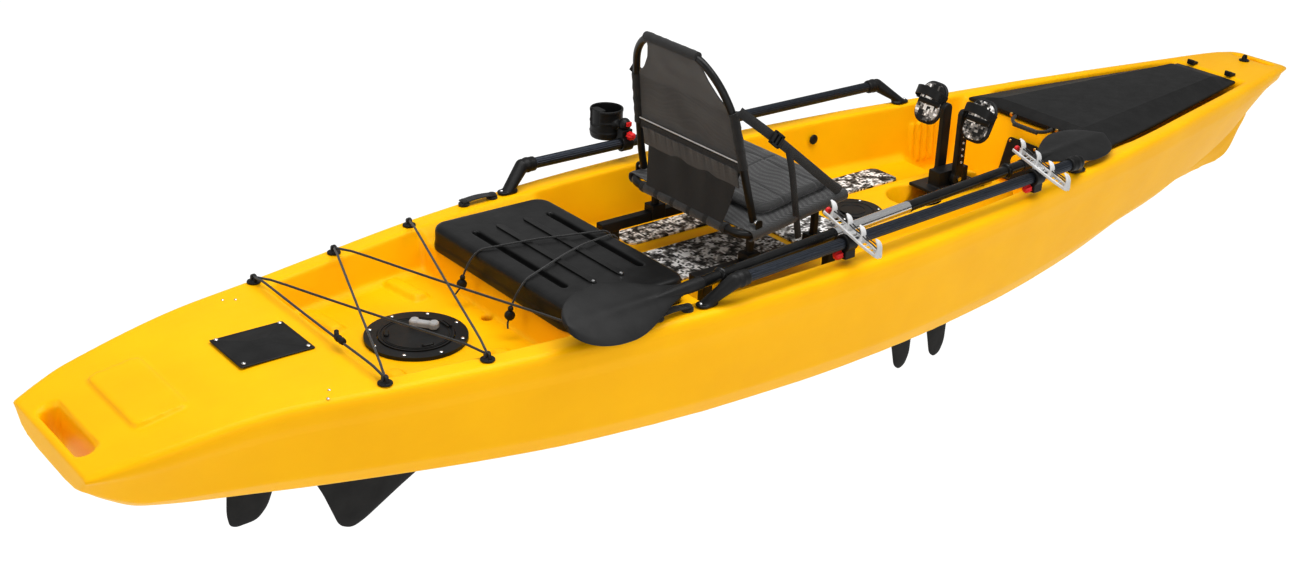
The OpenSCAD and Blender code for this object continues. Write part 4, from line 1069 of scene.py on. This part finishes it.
def make_cushion():
    """Thin stuffed pad: blown up as cloth, then quilted."""
    rise, run = SEAT_FRONT[1] - SEAT_REAR[1], SEAT_FRONT[0] - SEAT_REAR[0]
    lean = -math.degrees(math.atan2(rise, run))
    half_x, half_y, thick = 128, 212, 22
    form = stack([(rounded_rectangle(half_x - i, half_y - i, 36, 8), z)
                  for i, z in ((5, 2), (0, 8), (0, thick - 6), (6, thick))])
    obj = joined("seat_cushion_pad", [form])
    remeshed(obj, 5, 2)
    rest = np.array([v.co for v in obj.data.vertices])
    cloth = obj.modifiers.new("cloth", "CLOTH")
    cloth.settings.use_pressure = True
    cloth.settings.uniform_pressure_force = 2.5
    cloth.settings.effector_weights.gravity = 0
    for frame_number in range(1, 21):
        SCENE.frame_set(frame_number)
    graph = bpy.context.evaluated_depsgraph_get()
    blown = np.array([v.co for v in obj.evaluated_get(graph).data.vertices])
    obj.modifiers.clear()
    SCENE.frame_set(1)
    shift = blown - rest
    size = np.linalg.norm(shift, axis=1)
    shift *= (np.minimum(size, SWELL_LIMIT) / np.maximum(size, 1e-9))[:, None]
    rest = rest + shift
    rest[:, 2] = np.maximum(rest[:, 2], 0.0008)
    obj.data.vertices.foreach_set("co", rest.astype(np.float32).ravel())
    fine = obj.modifiers.new("fine", "SUBSURF")
    fine.levels = fine.render_levels = 1
    apply_modifiers(obj)
    co = np.array([v.co for v in obj.data.vertices]) / MM
    top = np.clip((co[:, 2] - 10) / 8, 0, 1)
    for line, at in ((0, -40), (0, 70), (1, 0)):
        wander = 2.5 * np.sin(co[:, 1 - line] * 0.03 + at)
        co[:, 2] -= top * 3.2 * np.exp(-((co[:, line] - at - wander) / 3.2) ** 2)
    co[:, 2] += top * wrinkle(co * 0.014, 1, 2.6, 4)
    edge = np.exp(-((co[:, 2] - 11) / 2.2) ** 2)
    outward = co[:, :2] / np.maximum(np.linalg.norm(co[:, :2], axis=1), 1)[:, None]
    co[:, :2] += edge[:, None] * outward * 2.0
    turn = np.array(turned(lean, "Y"))
    co = co @ turn.T + [CUSHION_X, 0, seat_z(CUSHION_X) + 14.5]
    obj.data.vertices.foreach_set("co", (co * MM).astype(np.float32).ravel())
    obj.data.shade_smooth()
    finish_piece(obj, "seat_cushion_pad", "seat", "seat_fabric", ["seat_cushion"])


STRAP_A, STRAP_B = (-452, 716), (-118, 446)  # x and z of a strap's upper and lower end


def make_straps():
    for side, word in SIDES:
        y = side * (SEAT_HALF + 2)
        a = np.array([STRAP_A[0], side * 216, STRAP_A[1]])
        b = np.array([STRAP_B[0], y, STRAP_B[1]])
        buckle = a + (b - a) * 0.3
        buckle[1] = y
        strap = piece(f"{word}_seat_strap", "seat", "webbing",
                      [sweep(rounded_path([a, buckle, b], 60, 6), flat_profile(25, 2),
                             across=unit(np.cross(b - a, (0, 1, 0))))],
                      ["seat_straps"] if side > 0 else (), sharp=50)
        u = unit(b - buckle)
        basis = np.column_stack([u, unit(np.cross(u, (0, 1, 0))), (0, 1, 0)])
        plates = [slab(h, 17, 3, (-4, 4), 4, (c, 0)) for h, c in ((4, -16), (4, 14))]
        plates += [slab(19, 3, 1.5, (-4, 4), 3, (-1, s * 15)) for s in (1, -1)]
        plates.append(slab(3, 16, 1.5, (-3, 6), 3))
        clip = [moved((np.array(v) @ basis.T, f), buckle) for v, f in plates]
        made = piece(f"{word}_strap_buckle", "seat", "black_plastic", clip, sharp=30, bevel=0.0008)
        start = buckle + u * 50 + [0, side * 2, 0]
        steps = [(18, 4, -50), (32, 5, -140), (44, 3, -226)]
        if side < 0:
            steps = [(14, -5, -60), (30, -7, -150), (52, -6, -252)]
        drop = [start] + [start + step for step in steps]
        tail = piece(f"{word}_strap_tail", "seat", "webbing",
                     [sweep(rounded_path(drop, 70, 8), flat_profile(18, 1.6),
                            across=(0.9, 0.25 * side, 0.2))], sharp=50)
        for part in (strap, made, tail):
            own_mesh(part)


# ---------------------------------------------------------------- small fittings
def screw_head(at, axis, radius, height):
    """Domed head with a recess for the driver."""
    profile = [(-1, radius), (0.5 * height, radius), (0.85 * height, 0.8 * radius), (height, 0.45 * radius),
               (0.5 * height, 0.35 * radius), (0.45 * height, 0.05 * radius)]
    return lathe(profile, at, axis, 20)


def soften_nodes():
    """CAD nodes whose own solid is kept, with the rounded edges of a moulding."""
    for node, voxel, soften in (
            ("rod_holder_clamp", 1.3, 3), ("front_holder_clamp", 1.3, 3), ("rear_holder_clamp", 1.3, 3),
            ("seat_rails", 2.2, 3), ("seat_clips", 1.6, 3), ("stern_cover_plate", 1.6, 3),
            ("deck_pad_eyes", 1.1, 3), ("bow_cover_hinges", 1.1, 3), ("drive_housing", 2.0, 4),
            ("port_pedal_arm", 1.8, 4), ("starboard_pedal_arm", 1.8, 4), ("bulkhead_plate", 1.6, 3)):
        moulded(f"{node}_moulded", BODY_OF[node], SLOT_OF[node], node=node, voxel=voxel, soften=soften)


def make_screws():
    plate_x, plate_z = -1636, float(max(sheer(-1556), sheer(-1720))) + 6.4
    heads = [screw_head((plate_x + sx * 78, sy * 69, plate_z), (0, 0, 1), 5.2, 2.6)
             for sx in (-1, 1) for sy in (-1, 1)]
    piece("stern_plate_screw_heads", "hull", "steel", heads, ["stern_plate_screws"])
    rings = [("rear_hatch_screws", REAR_HATCH_X, 241.7, 8, 113, 0, 5),
             ("centre_hatch_screws", CENTRE_HATCH_X, 240.7, 6, 77, 30, 4.5)]
    for node, x, z, count, pitch, start, r in rings:
        turn = np.radians(start + np.arange(count) * 360 / count)
        heads = [screw_head((x + pitch * math.cos(a), pitch * math.sin(a), z), (0, 0, 1), r, 2.8)
                 for a in turn]
        piece(f"{node}_heads", "hull", "steel", heads, [node])
    heads = []
    for end, way in ((RAIL_A[0], -1), (RAIL_B[0], 1)):
        x = end + way * RAIL_FOOT
        z = float(max(sheer(x - 26), sheer(x + 26))) + 7.8
        heads += [screw_head((x + 19 * way, side * float(side_mid(x)), z), (0, 0, 1), 4.5, 4)
                  for side in (1, -1)]
    piece("rail_bolt_heads", "hull", "steel", heads, ["rail_bolts"])
    heads = [screw_head((BACK_PIVOT_X, side * 236, 417), (0, side, 0), 7, 8.5) for side in (1, -1)]
    piece("back_pivot_bolt_heads", BODY_OF["back_pivot_bolts"], "steel", heads, ["back_pivot_bolts"])
    plugs = [lathe([(0, 15), (3, 15), (4.5, 13.5), (5.8, 9), (6.4, 2)], (356, side * 351, 312),
                   (0, -side, 0), 36) for side in (1, -1)]
    piece("wall_plug_domes", "hull", "black_plastic", plugs, ["wall_plugs"])


CARRY_X = -800


def make_carry_handles():
    """A webbing loop on each side deck, held by two round caps."""
    parts = []
    for side in (1, -1):
        x = CARRY_X
        at = np.array([x, side * (float(side_mid(x)) + 2), float(sheer(x)) + 2])
        line = [at + p for p in ((-52, 0, 9.6), (-40, 0, 10.4), (-18, 0, 12.6), (0, 0, 13.2),
                                 (18, 0, 12.6), (40, 0, 10.4), (52, 0, 9.6))]
        parts.append(sweep(rounded_path(line, 12, 4), flat_profile(26, 3.4), across=(0, 1, 0)))
        for x in (-44, 44):
            cap = [(-2, 14), (0, 15), (4, 15), (6, 12), (9, 8), (10, 8), (12, 11.5), (14, 9), (15, 3)]
            parts.append(lathe(cap, at + [x, 0, 0], sides=28))
    piece("carry_handle_loops", "hull", "webbing", parts, ["carry_handles"], sharp=30)


# ---------------------------------------------------------------- holders on the rails
ROD_X, CLAMP_W = -300, 34
TRAYS = (("front", 470), ("rear", -262))
TRAY_IN, TRAY_OUT, TRAY_DROP = 86, 118, 16


def knob(at, axis):
    """Fluted hand knob with a domed end."""
    points = [np.array(at) + d * unit(axis) for d in (0, 1.5, 4, 13, 17, 20.5, 23)]
    return sweep(points, circle(12.2, 70, 7, 2.4), across=np.cross(axis, (0.3, 0.9, 0.1)),
                 grow=[0.86, 0.98, 1, 1, 0.94, 0.76, 0.4])


def make_knobs():
    rod_at = rail_at(ROD_X, 1) + [0, -18, RAIL_D / 2 + 13]
    piece("rod_knob_fluted", "rod_knob", "red_plastic", [knob(rod_at, (0, -1, 0))], ["rod_holder_knob"])
    for word, x in TRAYS:
        at = rail_at(x, -1) - [CLAMP_W / 2 + 2, 0, RAIL_D / 2 + 14]
        piece(f"{word}_knob_fluted", f"{word}_knob", "red_plastic", [knob(at, (-1, 0, 0))],
              [f"{word}_holder_knob"])


def make_tray(word, x):
    """Ladder-shaped tray with four curved horns and two cords that run along them."""
    hub = rail_at(x, -1) + [0, 0, RAIL_D / 2 + 8.6]
    turn = np.array(turned(TRAY_DROP, "X")) @ np.diag([1.0, -1.0, 1.0])

    def place(part):
        return np.array(part[0], float) @ turn.T + hub + [0, 0, 5], [f[::-1] for f in part[1]]

    parts = []
    for s in (1, -1):
        line = [(s * 11.2, -TRAY_IN + 2, 3.5), (s * 11.6, -30, 3.5), (s * 11.6, 70, 3.5),
                (s * 8, TRAY_OUT - 10, 3.5), (s * 3, TRAY_OUT - 1, 3.5)]
        parts.append(sweep(line, flat_profile(5.4, 9), across=(1, 0, 0)))
    parts += [sweep([(-11, y, 2.4), (0, y, 2.4), (11, y, 2.4)], flat_profile(4, 3.6), across=(0, 1, 0))
              for y in np.arange(-TRAY_IN + 4, TRAY_OUT - 12, 13.5)]
    parts.append(slab(10, 20, 5, (0.5, 5.5)))
    for y in (-TRAY_IN + 22, -4, 46, TRAY_OUT - 12):
        horn = [(0, y + 5, 2), (0, y + 3.5, 12), (0, y + 2.5, 24), (0, y - 3, 33.5), (0, y - 12, 38),
                (0, y - 18, 38.6)]
        parts.append(sweep(rounded_path(horn, 7, 4), flat_profile(17, 8), across=(1, 0, 0),
                           grow=np.interp(np.linspace(0, 1, 22), [0, 0.3, 0.7, 1], [1.4, 1.0, 0.85, 0.35])))
    parts = [place(p) for p in parts]
    parts.append(lathe([(0, 11.5), (1, 12), (7, 12), (9, 10)], hub, sides=28))
    piece(f"{word}_tray_ladder", f"{word}_tray", "tray_plastic", parts, [f"{word}_holder_tray"], sharp=35)
    cords = []
    stops = np.linspace(-TRAY_IN + 20, TRAY_OUT - 10, 9)
    for s in (1, -1):
        line = [(s * 5, y, 21 + 2.2 * (k % 2)) for k, y in enumerate(stops)]
        cords.append(place(sweep(rounded_path(line, 8, 3), circle(1.7, 8))))
    piece(f"{word}_tray_cord", f"{word}_tray", "elastic_cord", cords)
    plug = lathe([(-5, 7), (-3, 8.2), (3, 8.2), (5, 6.5), (6, 2)], (0, -TRAY_IN + 5, 8), (0, -1, 0), 24)
    piece(f"{word}_tray_plug", f"{word}_tray", "red_plastic", [place(plug)])


def make_rod_cup():
    pivot = rail_at(ROD_X, 1) + [0, 0, RAIL_D / 2 + 40]
    centre = pivot + [-12, 72, -12]
    cup = lathe([(-43, 40), (-41, 44), (-33, 46.4), (30, 46.4), (37, 48), (43, 47.4)], centre, sides=72)
    bands = [lathe([(z - 2.5, 46), (z - 1.5, 48), (z + 1.5, 48), (z + 2.5, 46)], centre, sides=72)
             for z in (-24, 6)]
    arm = sweep([pivot + p for p in ((0, -6, 0), (-3, 10, -2), (-8, 22, -5), (-12, 32, -8))], circle(10, 20),
                grow=[1, 0.95, 1.05, 1.6])
    ball = lathe([(-17, 3), (-15, 9), (-9, 14.5), (0, 17), (9, 14.5), (15, 9), (17, 3)],
                 pivot + [0, 2, 0], sides=28)
    hub = lathe([(-13, 12), (-12, 13), (12, 13), (13, 12)], pivot, (0, 1, 0), 28)
    bore = lathe([(-37, 41.4), (60, 42.4)], centre, sides=72)
    slot = slab(34, 22, 9, (centre[2] - 4, centre[2] + 60), centre=(centre[0] - 50, centre[1]))
    moulded("rod_cup_moulded", "rod_cup", "black_plastic", [cup, *bands, arm, ball, hub], holes=[bore, slot],
            voxel=1.6, soften=3, stands_for=["rod_holder_cup"])
    tab = slab(9, 5, 3, (pivot[2] - 3, pivot[2] + 9), centre=(pivot[0] + 2, pivot[1] - 13))
    piece("rod_cup_lever", "rod_cup", "red_plastic", [tab], bevel=0.0012)


def make_shaft():
    way = unit(PADDLE_B - PADDLE_A)
    a, b = (PADDLE_A + t * (PADDLE_B - PADDLE_A) for t in (0.38, 0.6))
    tubes = [sweep([p, (p + q) / 2, q], circle(14.5, 36)) for p, q in ((PADDLE_A, a), (b, PADDLE_B))]
    rings = [lathe([(-9, 14.6), (-7, 16.6), (-2, 16.6), (0, 15)], end, out, 32)
             for end, out in ((a, way), (b, -way))]
    rings += [lathe([(-8, 14.6), (-6, 19), (-3, 21), (0, 21.5), (2, 15)], p, way, 32)
              for p in (PADDLE_A + 95 * way, PADDLE_B - 95 * way)]
    piece("paddle_shaft_grips", "paddle", "shaft_plastic", tubes + rings, ["paddle_shaft"])
    button = lathe([(-2, 4), (2.2, 4), (3.4, 2.4), (3.6, 0.8)], a + 24 * way + [0, 0, 15], (0, 0, 1), 18)
    piece("paddle_sleeve_tube", "paddle", "sleeve_aluminium",
          [sweep([a, (a + b) / 2, b], circle(15.5, 40)), button], ["paddle_sleeve"])


# ---------------------------------------------------------------- fin drive and pedals
DRIVE_X, ARM_Z, ARM_L, ARM_Y, PEDAL_Y, PEDAL_LEAN = 578, 268, 195, 34, 96, 24
FIN_AXIS, FIN_DEPTH, FIN_X = -24, 345, (452, 606)


def make_pedal(side, word):
    at = (DRIVE_X, side * PEDAL_Y, ARM_Z + ARM_L)
    lean, upright = turned(PEDAL_LEAN, "Y"), turned(90, "Y")

    def place(part):
        return moved(part, at, lean)

    def on_edge(part):
        return place(moved(part, turn=upright))

    rim = crowned_slab(64, 50, 38, ((3, -4), (0, -1), (0, 3), (3, 6)))
    window = slab(52, 38, 26, (-12, 12), 8)
    ribs = [on_edge(slab(54, 2, 1, (-2, 5), centre=(0, y))) for y in (-22, 0, 22)]
    ribs += [on_edge(slab(2, 36, 1, (-2, 5), centre=(x, 0))) for x in (-34, 0, 34)]
    spindle = lathe([(-42, 10), (-40, 12), (40, 12), (42, 10)], (0, 0, 0), (0, 1, 0), 28)
    moulded(f"{word}_pedal_rim", f"{word}_pedal", "pedal_plastic", [on_edge(rim)],
            holes=[on_edge(window)], voxel=1.6, soften=3, stands_for=[f"{word}_pedal"])
    piece(f"{word}_pedal_ribs", f"{word}_pedal", "pedal_plastic", [*ribs, place(spindle)], sharp=35)
    pad = crowned_slab(57, 43, 32, ((1, -9), (0, -8), (0, -4), (1, -3)))
    piece(f"{word}_pedal_pad", f"{word}_pedal", "foam_pad", [on_edge(pad)], sharp=40)
    arch = [(2, -49, 16), (-14, -51, 19), (-34, -43, 24), (-46, -20, 28), (-48, 0, 28)]
    arch += [(x, -y, z) for x, y, z in arch[-2::-1]]
    line = rounded_path(arch, 14, 5)
    strap = [sweep(line, flat_profile(27, 2.6), across=(0, 0, 1))]
    for k in range(2, 9):
        strap.append(sweep([line[k] + [-0.5, -1.2, h] for h in (-11, 0, 11)], flat_profile(2.4, 2.4)))
    strap.append(moved(slab(7, 4, 2, (-15, 15)), (-4, 50, 17)))
    piece(f"{word}_pedal_strap", f"{word}_pedal", "black_plastic", [place(p) for p in strap], sharp=40)


def make_arm_details():
    """Adjustment plates and bolts on the outer faces of the pedal arms."""
    for side, word in SIDES:
        y = side * (ARM_Y + 8)
        plate = moved(slab(12, 52, 4, (-2.2, 2.2)), (DRIVE_X, y, ARM_Z + 92), turned(90, "X"))
        bolts = [lathe([(-1, 4.4), (1.2, 4.4), (2.2, 3.6), (0.6, 2.2), (0.4, 0.4)],
                       (DRIVE_X, y + side * 2, ARM_Z + 52 + 20 * k), (0, side, 0), 18) for k in range(5)]
        piece(f"{word}_arm_plate", f"{word}_arm", "drive_plastic", [plate], sharp=30, bevel=0.0008)
        piece(f"{word}_arm_bolts", f"{word}_arm", "steel", bolts)


def foil(outline, thickness, edge=1.8):
    """Plate in the XZ plane, thick in its middle and thin round its edge."""
    ring = rounded_path([*outline, outline[0]], 16, 4)[:-1]
    middle = ring.mean(axis=0)
    port = [(s, edge / 2 + (thickness - edge) / 2 * math.sqrt(1 - s ** 2.5))
            for s in (0.02, 0.25, 0.5, 0.7, 0.86, 0.95, 1.0)]
    rings = []
    for s, y in port + [(s, -half) for s, half in port[::-1]]:
        flat = middle + s * (ring - middle)
        rings.append(np.column_stack([flat[:, 0], np.full(len(flat), y), flat[:, 1]]))
    return capped(rings)


def make_fins():
    for word, x in (("front", FIN_X[1]), ("rear", FIN_X[0])):
        outline = [(x - 33, FIN_AXIS - 16), (x + 33, FIN_AXIS - 16), (x + 44, -120), (x + 40, -300),
                   (x + 24, 10 - FIN_DEPTH), (x, -FIN_DEPTH), (x - 22, 18 - FIN_DEPTH),
                   (x - 44, -240), (x - 46, -120)]
        parts = [foil(outline, 9)]
        for s in (-1, 1):
            hub = [(-7, 11.5), (-5.5, 13), (5.5, 13), (7, 11.5)]
            parts.append(lathe(hub, (x + s * 26, 0, FIN_AXIS), (1, 0, 0), 28))
            parts.append(slab(7, 4.5, 3, (-46, FIN_AXIS), centre=(x + s * 26, 0)))
        piece(f"{word}_fin_foil", f"{word}_fin", "fin_rubber", parts, [f"{word}_fin"], sharp=50)
    rudder = foil([(-1622, 36), (-1690, 40), (-1742, 30), (-1750, -80), (-1744, -112), (-1728, -120),
                   (-1676, -118), (-1648, -90), (-1624, -30)], 10)
    post = lathe([(10, 9.5), (12, 10), (266, 10), (270, 22), (273, 23), (281, 23), (284, 20)],
                 (POST_X, 0, 0), sides=28)
    piece("rudder_foil", "rudder", "black_plastic", [rudder, post], ["rudder"], sharp=45)
    skeg = foil([(-1572, 24), (-1400, 12), (-1200, -4), (-1060, -5), (-1010, -5), (-1180, -92), (-1300, -158),
                 (-1395, -214), (-1432, -228), (-1466, -212), (-1505, -110)], 12, 3)
    piece("skeg_foil", "hull", "black_plastic", [skeg], ["skeg"], sharp=45)


# ---------------------------------------------------------------- bow cover
COVER_X = (948, 1806)


def cover_half(x):
    return (0.93 * (float(hull_at(x, BEAM)) - lookup(SIDE_DECK, x)) - 2
            - 14 * (x - COVER_X[0]) / (COVER_X[1] - COVER_X[0]))


def cover_z(x):
    return float(np.interp(x, COVER_X, [sheer(COVER_X[0]), sheer(COVER_X[1])])) - 14


def cover_section(x):
    """Closed outline of the cover at x: rim, slope, ridge and crown, with a hollow underside."""
    h, z = cover_half(x), cover_z(x)
    ridge = float(np.interp(x, COVER_X, (166, 70)))
    rise = 24 * min(1, (x - COVER_X[0]) / 24) ** 0.8 * min(1, (COVER_X[1] - x) / 90) ** 0.8
    hollow = min(1, max(0, (x - COVER_X[0] - 24) / 10)) * min(1, max(0, (COVER_X[1] - 40 - x) / 10))
    crown = 3 * math.sin(math.pi * (x - COVER_X[0]) / (COVER_X[1] - COVER_X[0]))
    top, under = z + 11 + rise, (rise + 3) * hollow
    half = [(0, z + under), (ridge - 10, z + under), (h - 34, z + 4 * hollow), (h - 26, z),
            (h - 3, z), (h, z + 3), (h, z + 8.5), (h - 3, z + 11),
            (ridge + 0.5 * (h - ridge), z + 11 + 0.42 * rise), (ridge, top),
            (0.55 * ridge, top + 0.5 * crown), (0, top + crown)]
    return half + [(-p[0], p[1]) for p in half[-2:0:-1]]


def make_bow_cover():
    aft, fore = COVER_X
    xs = np.unique(np.concatenate([COVER_X, np.linspace(aft, aft + 36, 7),
                                   np.linspace(aft + 60, fore - 96, 18), np.linspace(fore - 90, fore, 12)]))
    rows = [np.array([(x, y, z) for y, z in cover_section(x)]) for x in xs]
    piece("bow_cover_shell", "bow_cover", "cover_plastic", [capped(rows, flip=True)], ["bow_cover"],
          sharp=14, bevel=0.0016)
    base = cover_z(aft)
    z = base + 8
    local = [(1, 72, 0), (-18, 69, 0), (-33, 50, 0), (-37, 22, 0), (-37, 0, 0)]
    local += [(x, -y, h) for x, y, h in local[-2::-1]]
    grip = [sweep(rounded_path(local, 16, 5), circle(5.6, 18)),
            sweep([(-37, y, 0) for y in np.linspace(-46, 46, 24)], circle(7.2, 20),
                  grow=1 + 0.05 * np.cos(np.arange(24) * 2.1))]
    piece("bow_handle_grip", "bow_handle", "rope",
          [moved(part, (aft - 7, 0, z), turned(-18, "Y")) for part in grip], ["bow_handle"])
    heads = [screw_head((aft - 4.4, side * 90, z), (-1, 0, 0), 7, 3.4) for side in (1, -1)]
    piece("bow_handle_screw_heads", "bow_cover", "brass", heads, ["bow_handle_screws"])
    cord = [(940, -150, base - 4), (931, -150, base - 26), (921, -149, base - 48),
            (916, -150, base - 68)]
    piece("bow_cover_cord_line", "bow_cover", "elastic_cord", [sweep(rounded_path(cord, 12), circle(2, 10))],
          ["bow_cover_cord"])
    toggle = lathe([(-9, 5), (-7, 10.5), (-2, 12), (2, 12), (7, 10.5), (9, 5)],
                   (916, -150, base - 76), (0, 1, 0), 24)
    piece("bow_cover_cord_toggle", "bow_cover", "black_plastic", [toggle])


def make_bulkhead_details():
    turn, at = turned(-73.2, "Y"), (917, 20, 232)
    disc = lathe([(5, 21), (10.6, 21), (11.6, 19.5), (11.8, 4)], (0, 0, 0), sides=40)
    piece("bulkhead_disc", "hull", "hull_shell", [moved(disc, at, turn)])
    heads = [moved(screw_head((sx * 54, sy * 49, 5), (0, 0, 1), 5, 2.8), at, turn)
             for sx in (-1, 1) for sy in (-1, 1)]
    piece("bulkhead_screws", "hull", "brass", heads)


# ---------------------------------------------------------------- CAD nodes that stay
def dress_cad_nodes():
    """Every CAD node gets its slot's material, soft edges and smooth shading."""
    for name, node in NODES.items():
        node.data.materials.clear()
        node.data.materials.append(MATERIALS[SLOT_OF[name]])
        smooth_by_angle(node)
        if name != "hull":
            add_bevel(node, 0.0012)


make_camera()
make_studio()
dress_cad_nodes()
make_hull()
make_box_lid()
make_deck_bungee()
make_rivets()
make_hatch_handle()
make_hatch_trim()
make_rails()
make_paddle()
make_seat_frame()
make_back_fabric()
make_back_flap()
make_seat_sling()
make_cushion()
make_straps()
soften_nodes()
make_screws()
make_carry_handles()
make_knobs()
for word, x in TRAYS:
    make_tray(word, x)
make_rod_cup()
make_shaft()
for side, word in SIDES:
    make_pedal(side, word)
make_arm_details()
make_fins()
make_bow_cover()
make_bulkhead_details()
